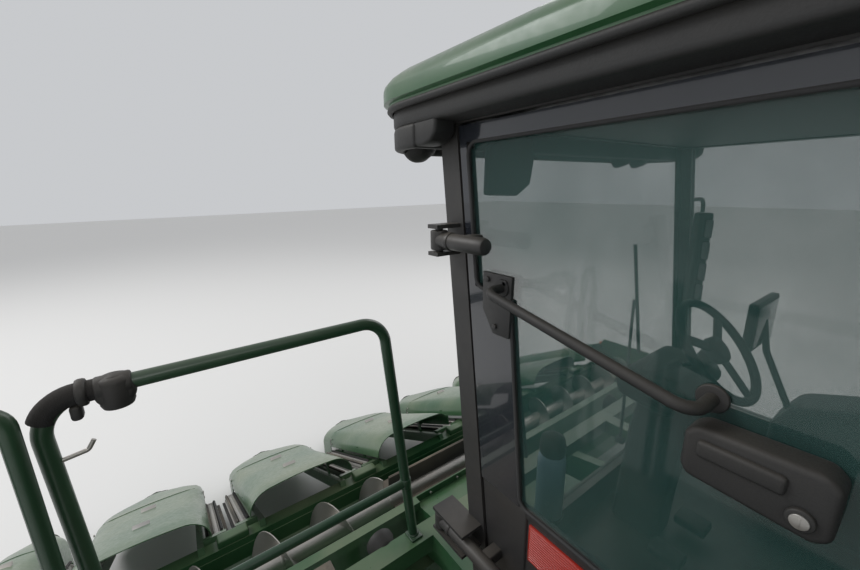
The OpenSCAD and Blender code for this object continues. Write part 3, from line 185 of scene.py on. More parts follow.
cast_grey = finish_of("cast_grey", (0.12, 0.125, 0.13), roughness=0.7, metal=0.3, dust=0.35, bump=0.25,
                      grain=110)
grip_tape = finish_of("grip_tape", (0.012, 0.012, 0.013), roughness=0.9, dust=0.06, bump=0.5, grain=420)

# %% [markdown]
# Clear glass on such a cab is tinted a little blue-green and is dusty, so it both lets light through and shows a
# faint haze. A thin pane is made as a mix: a transparent shader carries the tint, and a glossy coat, stronger at a
# flat angle, mirrors the studio. The tint counts once a pane, on the face the eye meets first, so a thin pane with
# two faces isn't darkened twice and the inside of the cab stays easy to see.

# %% Tinted glass
def glass_of(name, tint, haze=0.06, gloss=0.05):
    material = bpy.data.materials.new(name)
    material.use_nodes = True
    nodes, links = material.node_tree.nodes, material.node_tree.links
    shader = nodes["Principled BSDF"]
    shader.inputs["Base Color"].default_value = (*tint, 1)
    shader.inputs["Roughness"].default_value = gloss
    shader.inputs["IOR"].default_value = 1.5
    place, smear = nodes.new("ShaderNodeTexCoord"), nodes.new("ShaderNodeTexNoise")
    smear.inputs["Scale"].default_value, smear.inputs["Detail"].default_value = 2.2, 7
    links.new(place.outputs["Object"], smear.inputs["Vector"])
    cloud = nodes.new("ShaderNodeMapRange")
    cloud.inputs["From Min"].default_value, cloud.inputs["From Max"].default_value = 0.35, 0.8
    cloud.inputs["To Min"].default_value, cloud.inputs["To Max"].default_value = 0.46, 0.46 + haze * 3
    links.new(smear.outputs["Fac"], cloud.inputs["Value"])
    form, outside = nodes.new("ShaderNodeNewGeometry"), nodes.new("ShaderNodeMath")
    film = nodes.new("ShaderNodeMath")
    outside.operation, film.operation = "SUBTRACT", "MULTIPLY"
    outside.inputs[0].default_value = 1.0
    links.new(form.outputs["Backfacing"], outside.inputs[1])
    links.new(cloud.outputs["Result"], film.inputs[0])
    links.new(outside.outputs[0], film.inputs[1])
    links.new(film.outputs[0], shader.inputs["Alpha"])
    return material

cab_tint = glass_of("cab_tint", (0.045, 0.105, 0.095))
mirror_face = finish_of("mirror_face", (0.75, 0.78, 0.80), roughness=0.06, metal=1.0, dust=0.05, bump=0.0)
lamp_cream = finish_of("lamp_cream", (0.62, 0.58, 0.45), roughness=0.35, dust=0.3, bump=0.03)

# %% [markdown]
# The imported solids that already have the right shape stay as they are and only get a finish. The list pairs each
# node with its material; wheels, rolls and knuckles come in sets, so they are matched by the start of the name.

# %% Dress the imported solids
paint_plan = {"main_frame": green_paint, "front_axle": green_paint, "rear_axle": green_paint,
              "engine_block": cast_grey, "engine_housing": green_paint, "side_tanks": dark_plastic,
              "field_cleaner": green_paint, "air_duct": green_paint, "blower": dark_paint,
              "exhaust_stack": dark_paint, "cab_shell": dark_paint, "cab_roof": green_paint,
              "cab_visor": dark_plastic, "cab_glass": cab_tint, "operator_seat": soft_plastic,
              "cab_controls": soft_plastic, "platform": dark_paint, "rear_locker": green_paint,
              "steering_wheel": soft_plastic, "handrails": rail_green, "ladders": rail_green,
              "lamps_mirrors": lamp_cream, "door_frame": dark_paint, "door_glass": cab_tint,
              "header_trough": green_paint, "row_frames": green_paint, "divider_shells": green_paint,
              "divider_snouts": dark_plastic, "intake_duct": green_paint, "cross_auger": worn_steel,
              "lift_barrels": dark_paint, "lift_rods": rod_chrome, "basket_shell": dusty_green,
              "basket_hood": dusty_tan, "dump_gate": dusty_tan, "tip_barrels": dark_paint,
              "tip_rods": rod_chrome, "knuckle": green_paint, "tie_rod": worn_steel, "roll": bat_rubber,
              "drive_tyre": tyre_rubber, "steer_tyre": tyre_rubber, "drive_rim": yellow_paint,
              "steer_rim": yellow_paint}

def dress(node, material):
    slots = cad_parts[node].material_slots
    if not slots:
        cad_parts[node].data.materials.append(material)
    for s in slots:
        s.material = material

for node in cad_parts:
    match = max((k for k in paint_plan if node.startswith(k)), key=len)
    dress(node, paint_plan[match])
print("finishes", len(paint_plan))

# %% [markdown]
# A finished piece has its place in its mesh and its object at the origin, so a pattern on Object coordinates stays
# put. This helper does that closing step for every piece: name, smooth shading by angle, material and body.

# %% Helpers to close a piece and to round its edges
def nothing_selected():
    if bpy.context.object and bpy.context.object.mode != "OBJECT":
        bpy.ops.object.mode_set(mode="OBJECT")
    bpy.ops.object.select_all(action="DESELECT")

def only(piece):
    nothing_selected()
    piece.select_set(True)
    bpy.context.view_layer.objects.active = piece

def close_piece(piece, name, material, body, angle=35):
    only(piece)
    piece.name = name
    piece.data.name = name
    bpy.ops.object.transform_apply(location=True, rotation=True, scale=True)
    bpy.ops.object.shade_smooth_by_angle(angle=math.radians(angle))
    piece.data.materials.clear()
    piece.data.materials.append(material)
    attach(piece, body)
    return piece

def apply_all(piece):
    only(piece)
    for modifier in list(piece.modifiers):
        bpy.ops.object.modifier_apply(modifier=modifier.name)

def round_edges(piece, width, segments=2, angle=30):
    only(piece)
    bevel = piece.modifiers.new("round", "BEVEL")
    bevel.width, bevel.segments = width, segments
    bevel.limit_method, bevel.angle_limit = "ANGLE", math.radians(angle)
    apply_all(piece)

def joined(parts):
    nothing_selected()
    for part in parts:
        part.select_set(True)
    bpy.context.view_layer.objects.active = parts[0]
    bpy.ops.object.join()
    return parts[0]

# %% [markdown]
# Three starts cover most of this machine: a block with rounded edges, a round bar or drum, and an outline that is
# drawn out to a thickness. Each begins as a primitive and is shaped with operators, and y is given from the front
# axle as in the drawing, so every helper adds the frame's shift.

# %% Helpers for blocks, drums and drawn-out outlines
def block(low, high, bevel=0.006, segments=2):
    nothing_selected()
    size = [h - l for l, h in zip(low, high)]
    middle = [(l + h) / 2 for l, h in zip(low, high)]
    bpy.ops.mesh.primitive_cube_add(size=1, location=(middle[0], middle[1] + shift, middle[2]))
    piece = bpy.context.object
    piece.scale = size
    bpy.ops.object.transform_apply(location=True, rotation=True, scale=True)
    if bevel:
        round_edges(piece, min(bevel, min(size) * 0.45), segments)
    return piece

def drum(start, end, radius, sides=32, bevel=0.004, end_radius=None):
    nothing_selected()
    a, b = Vector(start) + Vector((0, shift, 0)), Vector(end) + Vector((0, shift, 0))
    top = radius if end_radius is None else end_radius
    bpy.ops.mesh.primitive_cone_add(vertices=sides, radius1=radius, radius2=top, depth=(b - a).length,
                                    location=(a + b) / 2)
    piece = bpy.context.object
    piece.rotation_mode = "QUATERNION"
    piece.rotation_quaternion = (b - a).to_track_quat("Z", "Y")
    bpy.ops.object.transform_apply(location=True, rotation=True, scale=True)
    if bevel:
        round_edges(piece, min(bevel, (b - a).length * 0.3), 2, 40)
    return piece

def drawn_out(outline, axis, start, end, bevel=0.004, segments=2):
    """outline is a list of (y, z) for axis 0, (x, z) for axis 1 or (x, y) for axis 2"""
    nothing_selected()
    bpy.ops.mesh.primitive_circle_add(vertices=len(outline), radius=1, fill_type="NGON")
    piece = bpy.context.object
    for vertex, (u, v) in zip(piece.data.vertices, outline):
        vertex.co = [(start, u + shift, v), (u, start + shift, v), (u, v + shift, start)][axis]
    bpy.ops.object.mode_set(mode="EDIT")
    bpy.ops.mesh.select_all(action="SELECT")
    move = [0, 0, 0]
    move[axis] = end - start
    bpy.ops.mesh.extrude_region_move(TRANSFORM_OT_translate={"value": move})
    bpy.ops.mesh.select_all(action="SELECT")
    bpy.ops.mesh.normals_make_consistent(inside=False)
    bpy.ops.object.mode_set(mode="OBJECT")
    if bevel:
        round_edges(piece, bevel, segments)
    return piece

# %% [markdown]
# Pipes are bent on a former, so each corner is an arc. The path is worked out first, straight runs and arcs, and a
# curve with a round bevel along it is turned into a mesh.

# %% A helper for bent pipes
def arc_path(points, bend, steps=8):
    path = [Vector(points[0])]
    for before, corner, after in zip(points, points[1:], points[2:]):
        before, corner, after = Vector(before), Vector(corner), Vector(after)
        u, w = (before - corner).normalized(), (after - corner).normalized()
        half = u.angle(w) / 2
        reach = min(bend / math.tan(half), (before - corner).length * 0.48, (after - corner).length * 0.48)
        radius = reach * math.tan(half)
        centre = corner + (u + w).normalized() * (radius / math.sin(half))
        first, last = corner + u * reach - centre, corner + w * reach - centre
        swing = first.angle(last)
        for i in range(steps + 1):
            t = i / steps
            path.append(centre + first * (math.sin((1 - t) * swing) / math.sin(swing))
                        + last * (math.sin(t * swing) / math.sin(swing)))
    path.append(Vector(points[-1]))
    return path

def pipe(points, radius, bend=0.09, sides=4, steps=8):
    nothing_selected()
    line = bpy.data.curves.new("pipe", "CURVE")
    line.dimensions = "3D"
    line.bevel_depth, line.bevel_resolution, line.use_fill_caps = radius, sides, True
    path = arc_path(points, bend, steps)
    spline = line.splines.new("POLY")
    spline.points.add(len(path) - 1)
    for point, place in zip(spline.points, path):
        point.co = (place.x, place.y + shift, place.z, 1)
    piece = bpy.data.objects.new("pipe", line)
    bpy.context.collection.objects.link(piece)
    only(piece)
    bpy.ops.object.convert(target="MESH")
    return bpy.context.object

# %% [markdown]
# The cab's roof is one moulded cap with wide round corners: a short upright edge, then a soft dome. It starts as a
# round-cornered outline, which is drawn up to make the edge; its top face is then extruded and scaled in several
# small steps, so the dome closes smoothly. The darker visor hangs under it as a ring, with a deeper hollow lip in
# front.

# %% The roof's green cap
def round_plan(half_width, front, back, radius, steps=8):
    corners = [(half_width - radius, back - radius, 0), (-half_width + radius, back - radius, 90),
               (-half_width + radius, front + radius, 180), (half_width - radius, front + radius, 270)]
    plan = []
    for x, y, start in corners:
        for i in range(steps + 1):
            a = math.radians(start + 90 * i / steps)
            plan.append((x + radius * math.cos(a), y + radius * math.sin(a)))
    return plan

def grow_top(piece, steps, middle):
    """steps is a list of (rise, scale) for the topmost face"""
    only(piece)
    bpy.ops.object.mode_set(mode="EDIT")
    bpy.ops.mesh.select_all(action="DESELECT")
    bpy.ops.object.mode_set(mode="OBJECT")
    top = max(piece.data.polygons, key=lambda f: f.center.z)
    top.select = True
    bpy.ops.object.mode_set(mode="EDIT")
    for rise, scale in steps:
        bpy.ops.mesh.extrude_region_move(TRANSFORM_OT_translate={"value": (0, 0, rise)})
        bpy.ops.transform.resize(value=(scale, scale, 1), center_override=middle)
    bpy.ops.object.mode_set(mode="OBJECT")

roof_front, roof_back, roof_half, seam_z = -1.548, 0.56, 0.985, 3.468
roof_middle = (0, (roof_front + roof_back) / 2 + shift, seam_z)
cap = drawn_out(round_plan(roof_half - 0.012, roof_front + 0.012, roof_back - 0.012, 0.24), 2, seam_z + 0.002,
                seam_z + 0.010,
                bevel=0)
grow_top(cap, [(0.006, 1.012), (0.034, 1.0), (0.014, 0.996), (0.016, 0.988), (0.018, 0.976), (0.018, 0.958),
               (0.018, 0.935),
               (0.016, 0.90), (0.014, 0.84), (0.010, 0.72), (0.006, 0.5)], roof_middle)
close_piece(cap, "roof_cap", green_paint, "chassis", angle=50)
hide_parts("cab_roof")

# %% The visor under the cap
visor_outer = round_plan(roof_half - 0.030, roof_front + 0.020, roof_back - 0.03, 0.23)
ring = drawn_out(visor_outer, 2, seam_z + 0.002, 3.405, bevel=0)
round_edges(ring, 0.014, 3, 40)
lip = drawn_out([p for p in visor_outer if p[1] < -1.26]
                + [(roof_half - 0.030, -1.248), (-roof_half + 0.030, -1.248)], 2,
                3.41, 3.338, bevel=0)
only(lip)
bpy.ops.object.mode_set(mode="EDIT")
bpy.ops.mesh.select_all(action="DESELECT")
bpy.ops.object.mode_set(mode="OBJECT")
min(lip.data.polygons, key=lambda f: f.center.z).select = True
bpy.ops.object.mode_set(mode="EDIT")
bpy.ops.mesh.inset(thickness=0.035)
bpy.ops.mesh.extrude_region_move(TRANSFORM_OT_translate={"value": (0, 0, 0.03)})
bpy.ops.object.mode_set(mode="OBJECT")
round_edges(lip, 0.012, 3, 40)
ears = [drawn_out([(-1.31, 3.415), (-1.31, 3.342), (-1.21, 3.342), (-1.175, 3.350), (-1.152, 3.370),
                   (-1.145, 3.415)], 0,
                  side * 0.872, side * (roof_half - 0.036), 0.010, 3) for side in (-1, 1)]
visor = joined([ring, lip] + ears)
close_piece(visor, "roof_visor", dark_plastic, "chassis", angle=50)
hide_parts("cab_visor")
seam_line = round_plan(roof_half - 0.019, roof_front + 0.012, roof_back - 0.019, 0.24)
seam = pipe([(x, y, seam_z - 0.003) for x, y in seam_line + [(roof_half - 0.019, 0.3)]], 0.011, bend=0.001,
            steps=1)
close_piece(seam, "roof_seam", dark_plastic, "chassis")
print("roof", len(cap.data.polygons), "visor", len(visor.data.polygons))

# %% [markdown]
# The platform's handrail is one steel tube: up from the deck, a wide bend, across, and down again on a slant towards
# the cab. A black grip is wrapped round its outer bend, a clamp knob sits beside the grip, and a small hook pin
# stands on the post. The rails are close to the camera, so the bends are true arcs and the joints have weld beads.

# %% The handrails of the platform
out_x, rail_y, deck_z, top_z, tube_r = 1.92, -1.47, 1.72, 2.722, 0.022
leg_top_x, leg_foot, mid_bar = 0.975, (0.868, 1.62), (0.899, 1.93)
side_y, side_bar_z, short_rail_x, slim = (-0.88, 0.03, 0.91), 2.24, 1.0, tube_r * 0.9
front_y, middle_y, back_y = side_y
rails = [pipe([(out_x, rail_y, deck_z), (out_x + 0.032, rail_y, top_z), (leg_top_x, rail_y, top_z),
               (leg_foot[0], rail_y, leg_foot[1])], tube_r, bend=0.10, sides=6, steps=12),
         pipe([(out_x, rail_y, mid_bar[1]), (mid_bar[0], rail_y, mid_bar[1])], tube_r * 0.85, sides=6),
         pipe([(out_x, front_y, deck_z), (out_x, front_y, top_z), (out_x, back_y, top_z),
               (out_x, back_y, deck_z)],
              tube_r, bend=0.10, sides=6),
         pipe([(out_x, front_y, side_bar_z), (out_x, back_y, side_bar_z)], slim, sides=6),
         pipe([(out_x, middle_y, deck_z), (out_x, middle_y, top_z)], slim, sides=6),
         pipe([(out_x, back_y, side_bar_z), (short_rail_x, back_y, side_bar_z),
               (short_rail_x, back_y, deck_z)],
              slim, bend=0.08, sides=6)]
feet = [(out_x, rail_y, deck_z), (leg_foot[0], rail_y, leg_foot[1]), (out_x, front_y, deck_z),
        (out_x, back_y, deck_z), (out_x, middle_y, deck_z), (short_rail_x, back_y, deck_z)]
for x, y, z in feet:
    rails.append(block((x - 0.03 if x < 1.9 else x - 0.05, y - 0.026, z), (x + 0.03, y + 0.04, z + 0.010),
                       0.003))
    rails.append(drum((x, y, z + 0.008), (x, y, z + 0.018), tube_r + 0.008, 24, 0.003,
                      end_radius=tube_r + 0.001))
weld_beads = [(out_x + 0.006, rail_y, mid_bar[1]), (mid_bar[0], rail_y, mid_bar[1]),
              (out_x, front_y, side_bar_z),
              (out_x, back_y, side_bar_z), (out_x, middle_y, side_bar_z)]
for x, y, z in weld_beads:
    rails.append(drum((x, y, z - 0.026), (x, y, z + 0.026), tube_r + 0.003, 24, 0.006))
handrail = close_piece(joined(rails), "platform_rails", rail_green, "chassis", angle=60)
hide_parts("handrails")

# %% The grip, the clamp knob and the hook pin
bend_run = arc_path([(out_x, rail_y, deck_z), (out_x + 0.032, rail_y, top_z), (1.775, rail_y, top_z)], 0.10,
                    12)[4:]
wrap = pipe([tuple(p) for p in bend_run], tube_r + 0.006, bend=0.001, sides=6, steps=1)
close_piece(wrap, "rail_grip", grip_tape, "chassis", angle=60)
knob_z = top_z - 0.014
knob_parts = [drum((1.79, rail_y - 0.028, knob_z), (1.79, rail_y + 0.028, knob_z), 0.046, 32, 0.014),
              drum((1.79, rail_y, knob_z - 0.048), (1.79, rail_y, knob_z + 0.042), 0.039, 32, 0.014),
              drum((1.752, rail_y, top_z), (1.832, rail_y, top_z), 0.031, 32, 0.006),
              drum((1.845, rail_y, top_z), (1.868, rail_y, top_z), 0.036, 32, 0.007),
              block((1.862, rail_y - 0.018, top_z - 0.070), (1.888, rail_y + 0.018, top_z - 0.028), 0.010, 3)]
close_piece(joined(knob_parts), "rail_clamp_knob", dark_plastic, "chassis", angle=50)
hook = pipe([(out_x + 0.010, rail_y, 2.55), (out_x - 0.045, rail_y - 0.012, 2.552),
             (out_x - 0.060, rail_y - 0.016, 2.575)], 0.006, bend=0.012)
close_piece(hook, "rail_hook_pin", worn_steel, "chassis", angle=60)

# %% [markdown]
# The deck is a steel sheet with a raised tread pattern and a kick plate along its outer edge. The pattern is fine
# and even, so it is left to the material: a regular grid of round studs from a Voronoi texture, which only moves the
# bump.

# %% The deck plate
tread_plate = finish_of("tread_plate", (0.030, 0.033, 0.034), roughness=0.55, metal=0.4, dust=0.45, bump=0.1)
nodes, links = tread_plate.node_tree.nodes, tread_plate.node_tree.links
studs = nodes.new("ShaderNodeTexVoronoi")
studs.inputs["Scale"].default_value, studs.inputs["Randomness"].default_value = 28, 0.0
links.new(nodes["Texture Coordinate"].outputs["Object"], studs.inputs["Vector"])
stud_edge = nodes.new("ShaderNodeMapRange")
stud_edge.inputs["From Min"].default_value, stud_edge.inputs["From Max"].default_value = 0.16, 0.26
stud_edge.inputs["To Min"].default_value, stud_edge.inputs["To Max"].default_value = 1.0, 0.0
links.new(studs.outputs["Distance"], stud_edge.inputs["Value"])
stud_bump = nodes.new("ShaderNodeBump")
stud_bump.inputs["Strength"].default_value, stud_bump.inputs["Distance"].default_value = 0.7, 0.004
links.new(stud_edge.outputs["Result"], stud_bump.inputs["Height"])
links.new(nodes["Bump"].outputs["Normal"], stud_bump.inputs["Normal"])
links.new(stud_bump.outputs["Normal"], nodes["Principled BSDF"].inputs["Normal"])
deck = joined([block((0.862, -1.14, 1.68), (1.95, 0.94, deck_z), 0.004),
               block((1.26, -1.50, 1.68), (1.95, -1.135, 1.7195), 0.004),
               drawn_out([(1.942, 1.715), (1.95, 1.715), (1.95, 1.80), (1.946, 1.803), (1.942, 1.80)], 1,
                         -0.90, 0.94, bevel=0.002)])
close_piece(deck, "deck_plate", tread_plate, "chassis")
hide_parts("platform")

# %% [markdown]
# The door is a flat frame whose front stile leans with the windscreen, with a wide foot below the bracket. It is cut
# here as four flat bars with rounded edges, and the panel below the glass is a fifth. A rubber gasket follows the
# glass, and the hinges are round barrels at the pillar.

# %% The door's frame
def screen(z):
    return -1.05 - 0.19 * (z - 1.72) / 1.68

def door_front(z):
    return screen(z) + 0.086

door_x0, door_x1 = 0.820, 0.856
door_low, sill_z, light_top, door_top = 1.726, 2.25, 3.345, 3.394
rear_light_y, door_rear_y, hinge_line = -0.11, -0.066, (0.925, -1.165)
light = [(-0.86, sill_z), (rear_light_y, sill_z), (rear_light_y, light_top),
         (door_front(light_top) + 0.03, light_top), (door_front(2.92) + 0.03, 2.92), (-0.93, 2.90)]
stile = [(door_front(door_low), door_low), (-0.83, door_low), (-0.83, sill_z)] + [light[0]] + light[:2:-1] + [
    (light[3][0], door_top), (door_front(door_top), door_top)]
bars = [drawn_out(stile, 0, door_x0, door_x1, 0.007, 3),
        block((door_x0, light[3][0] - 0.01, light_top), (door_x1, door_rear_y, door_top), 0.007, 3),
        block((door_x0, rear_light_y, door_low), (door_x1, door_rear_y, door_top), 0.007, 3),
        block((door_x0 + 0.006, -0.84, 1.732), (door_x1 - 0.007, -0.10, sill_z), 0.005, 3),
        block((door_x0 + 0.002, -0.85, 2.222), (door_x1 - 0.002, -0.10, 2.252), 0.006, 3)]
hinge_x, hinge_y = hinge_line
for z in (2.0, 3.06):
    bars.append(drum((hinge_x, hinge_y, z - 0.030), (hinge_x, hinge_y, z + 0.030), 0.027, 40, 0.004))
    bars.append(drum((hinge_x, hinge_y, z), (hinge_x, door_front(z) + 0.16, z), 0.025, 36, 0.012))
    bars.append(drum((hinge_x, -1.120, z), (hinge_x, -1.100, z), 0.028, 36, 0.003))
    bars.append(block((0.850, door_front(z) + 0.03, z - 0.020), (hinge_x, door_front(z) + 0.07, z + 0.020),
                      0.005, 3))
plate = [(-1.03, 2.975), (-1.03, 2.86), (-0.985, 2.79), (-0.92, 2.79), (-0.915, 2.975)]
bars.append(drawn_out(plate, 0, door_x1 - 0.004, door_x1 + 0.010, 0.004, 2))
for y, z in ((-1.008, 2.955), (-0.938, 2.955), (-0.975, 2.815)):
    bars.append(drum((door_x1 + 0.008, y, z), (door_x1 + 0.016, y, z), 0.009, 6, 0.001))
door = close_piece(joined(bars), "door_leaf", dark_paint, "door")
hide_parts("door_frame")

# %% [markdown]
# Seen from outside, the frame's upper part lies behind the edge of the pane, which is printed black there and shines
# like the rest of the glass. So a thin glossy border covers the front stile, the top bar and the rear stile.

# %% The printed border of the pane
border_glass = finish_of("border_glass", (0.012, 0.017, 0.026), roughness=0.10, dust=0.10, bump=0.01,
                         coat=0.9)
pane_top = 3.393
front_edge = ([(door_front(sill_z), sill_z), light[0]] + light[:2:-1]
              + [(light[3][0], pane_top), (door_front(pane_top) + 0.002, pane_top)])
border = [drawn_out(front_edge, 0, door_x1 - 0.002, door_x1 + 0.002, 0),
          block((door_x1 - 0.002, light[3][0] - 0.001, light_top), (door_x1 + 0.0019, -0.068, pane_top), 0),
          block((door_x1 - 0.002, rear_light_y, sill_z), (door_x1 + 0.0018, -0.068, 3.35), 0)]
close_piece(joined(border), "door_pane_border", border_glass, "door")

# %% The gasket round the glass, the pull bar and the latch
edge = [(door_x1 - 0.003, y, z) for y, z in light]
gasket_start = (edge[0][0], -0.5, sill_z)
gasket = pipe([gasket_start] + edge[1:] + [edge[0], gasket_start], 0.006, bend=0.035, sides=3)
close_piece(gasket, "door_gasket", soft_plastic, "door", angle=60)
grip_z = (2.938, 2.828)
pull = pipe([(0.858, -0.95, grip_z[0]), (0.931, -0.95, grip_z[0]), (0.931, -0.43, grip_z[1]),
             (0.843, -0.43, grip_z[1])], 0.013,
            bend=0.04, sides=6)
feet = [drum((0.862, -0.95, grip_z[0]), (0.872, -0.95, grip_z[0]), 0.026, 28, 0.003),
        drum((0.842, -0.43, grip_z[1]), (0.852, -0.43, grip_z[1]), 0.028, 28, 0.003)]
close_piece(joined([pull] + feet), "door_pull_bar", dark_plastic, "door", angle=50)
latch = [drawn_out([(-0.45, 2.705), (-0.44, 2.685), (-0.26, 2.675), (-0.24, 2.69), (-0.24, 2.78),
                    (-0.26, 2.798), (-0.43, 2.793), (-0.45, 2.775)],
                   0, 0.842, 0.904, 0.012, 4),
         drum((0.900, -0.278, 2.712), (0.912, -0.278, 2.712), 0.019, 32, 0.003),
         block((0.896, -0.425, 2.738), (0.914, -0.30, 2.772), 0.008, 4)]
close_piece(joined(latch), "door_latch_box", dark_plastic, "door", angle=50)
key = [drum((0.911, -0.278, 2.712), (0.915, -0.278, 2.712), 0.0125, 32, 0.001),
       block((0.9140, -0.2795, 2.704), (0.9158, -0.2765, 2.720), 0.0004)]
close_piece(joined(key), "door_key_barrel", worn_steel, "door", angle=50)

# %% [markdown]
# A red ribbed reflector sits low on the door's panel. Its ribs are real: thin round bars are laid in a row on a
# plate, so light breaks on them as on the moulded original.

# %% The red reflector
red_lens = finish_of("red_lens", (0.42, 0.02, 0.01), roughness=0.16, dust=0.06, bump=0.02, coat=0.6)
ribs = [block((door_x1 - 0.009, -0.82, 2.08), (door_x1 + 0.001, -0.56, 2.215), 0.004)]
for i in range(15):
    z = 2.089 + i * 0.0085
    ribs.append(drum((door_x1, -0.812, z), (door_x1, -0.568, z), 0.0036, 10, 0))
close_piece(joined(ribs), "door_red_reflector", red_lens, "door", angle=40)

# %% [markdown]
# The seat is upholstered: a base on a dark pedestal, a cushion that sinks at its middle and swells at its rim, and a
# back with side bolsters. Each cushion starts as a rounded block; it is subdivided, swollen a little by moving its
# vertices, and the sewn line is pressed in along the panel's edge by moving the ring of vertices there.

# %% A helper for a padded cushion
cloth = finish_of("seat_cloth", (0.030, 0.031, 0.034), roughness=0.92, dust=0.10, bump=0.35, grain=520,
                  specular=0.2)

def cushion(low, high, crown=0.02, lean=0.0, seam=0.008):
    nothing_selected()
    size = [h - l for l, h in zip(low, high)]
    middle = Vector([(l + h) / 2 for l, h in zip(low, high)]) + Vector((0, shift, 0))
    bpy.ops.mesh.primitive_cube_add(size=1, location=middle)
    piece = bpy.context.object
    piece.scale = size
    bpy.ops.object.transform_apply(location=True, rotation=True, scale=True)
    round_edges(piece, min(size) * 0.38, 4)
    bpy.ops.object.mode_set(mode="EDIT")
    bpy.ops.mesh.select_all(action="SELECT")
    bpy.ops.mesh.subdivide(number_cuts=5)
    bpy.ops.object.mode_set(mode="OBJECT")
    thin = size.index(min(size))
    wide = [a for a in range(3) if a != thin]
    for vertex in piece.data.vertices:
        offset = vertex.co - middle
        u, v = (2 * offset[a] / size[a] for a in wide)
        side = 1 if offset[thin] > 0 else -1
        swell = crown * (1 - u ** 4) * (1 - v ** 4)
        ring = max(abs(u), abs(v))
        groove = seam * math.exp(-((ring - 0.72) / 0.035) ** 2)
        if abs(offset[thin]) > size[thin] * 0.2:
            vertex.co[thin] += side * (swell - groove)
        if lean:
            vertex.co.y += lean * (vertex.co.z - low[2])
    smooth = piece.modifiers.new("soft", "SUBSURF")
    smooth.levels = smooth.render_levels = 1
    apply_all(piece)
    return piece

# %% The operator's seat
seat_x = 0.05
pad = cushion((seat_x - 0.25, -0.10, 2.07), (seat_x + 0.25, 0.36, 2.185), 0.012)
close_piece(pad, "seat_cushion", cloth, "chassis", angle=80)
back_pad = cushion((seat_x - 0.24, 0.285, 2.19), (seat_x + 0.24, 0.385, 2.88), 0.012, lean=0.07)
close_piece(back_pad, "seat_back", cloth, "chassis", angle=80)
stand = [block((seat_x - 0.17, 0.04, 1.72), (seat_x + 0.17, 0.34, 1.80), 0.02, 3),
         block((seat_x - 0.19, 0.02, 1.93), (seat_x + 0.19, 0.38, 2.065), 0.02, 3)]
for i in range(7):
    stand.append(block((seat_x - 0.155, 0.055, 1.795 + i * 0.02), (seat_x + 0.155, 0.325, 1.808 + i * 0.02),
                       0.006))
for side in (-1, 1):
    x = seat_x + side * 0.29
    stand.append(block((x - 0.035, 0.02, 2.33), (x + 0.035, 0.33, 2.385), 0.022, 4))
    stand.append(drawn_out([(0.28, 2.10), (0.35, 2.10), (0.36, 2.35), (0.30, 2.35)], 0,
                           x - 0.018 - side * 0.01, x + 0.018 - side * 0.01, 0.008))
    stand.append(block((min(x, seat_x + side * 0.22), 0.29, 2.10), (max(x, seat_x + side * 0.22), 0.35, 2.15),
                       0.008))
seat_frame = close_piece(joined(stand), "seat_stand", soft_plastic, "chassis", angle=50)
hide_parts("operator_seat")

# %% [markdown]
# Ahead of the seat stand the steering column and the wheel, a ring with three spokes on a tilted hub. The ring is a
# torus, and the spokes are flat bars that widen towards the hub. At the right are the console with its stick, the
# small screen on its arm, and a stack of four little display windows on the corner post.

# %% The steering wheel and its column
nothing_selected()
wheel_at, wheel_tilt = Vector((seat_x, -0.65 + shift, 2.63)), Matrix.Rotation(math.radians(-50), 4, "X")
bpy.ops.mesh.primitive_torus_add(major_radius=0.188, minor_radius=0.0155, major_segments=64,
                                 minor_segments=16)
ring = bpy.context.object
wheel = [ring]
for angle in (90, 210, 330):
    spoke = block((0.03, -0.017 - shift, -0.012), (0.186, 0.017 - shift, 0.004), 0.006, 3)
    spoke.matrix_world = Matrix.Rotation(math.radians(angle), 4, "Z")
    only(spoke)
    bpy.ops.object.transform_apply(location=True, rotation=True, scale=True)
    wheel.append(spoke)
wheel.append(drum((0, -shift, -0.03), (0, -shift, 0.016), 0.050, 40, 0.012))
steering = joined(wheel)
steering.matrix_world = Matrix.Translation(wheel_at) @ wheel_tilt
close_piece(steering, "wheel_ring_and_spokes", soft_plastic, "steering_wheel", angle=50)
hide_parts("steering_wheel")
column = [drawn_out([(-0.93, 1.72), (-0.73, 1.72), (-0.72, 1.95), (-0.68, 2.40), (-0.69, 2.50), (-0.79, 2.54),
                     (-0.86, 2.48), (-0.90, 2.2)], 0,
                    seat_x - 0.075, seat_x + 0.075, 0.03, 4),
          drawn_out([(-0.91, 2.40), (-0.72, 2.37), (-0.66, 2.47), (-0.70, 2.53), (-0.88, 2.53),
                     (-0.93, 2.47)], 0, seat_x - 0.18, seat_x + 0.18, 0.025, 4),
          drum((seat_x, -0.74, 2.48), (seat_x, -0.662, 2.628), 0.028, 28, 0.004),
          pipe([(seat_x + 0.05, -0.70, 2.57), (seat_x + 0.16, -0.70, 2.60), (seat_x + 0.24, -0.68, 2.63)],
               0.007, bend=0.03),
          block((seat_x - 0.16, -0.72, 1.76), (seat_x - 0.07, -0.60, 1.80), 0.01),
          block((seat_x + 0.09, -0.72, 1.76), (seat_x + 0.17, -0.60, 1.80), 0.01)]
close_piece(joined(column), "steering_column", dark_plastic, "chassis", angle=50)

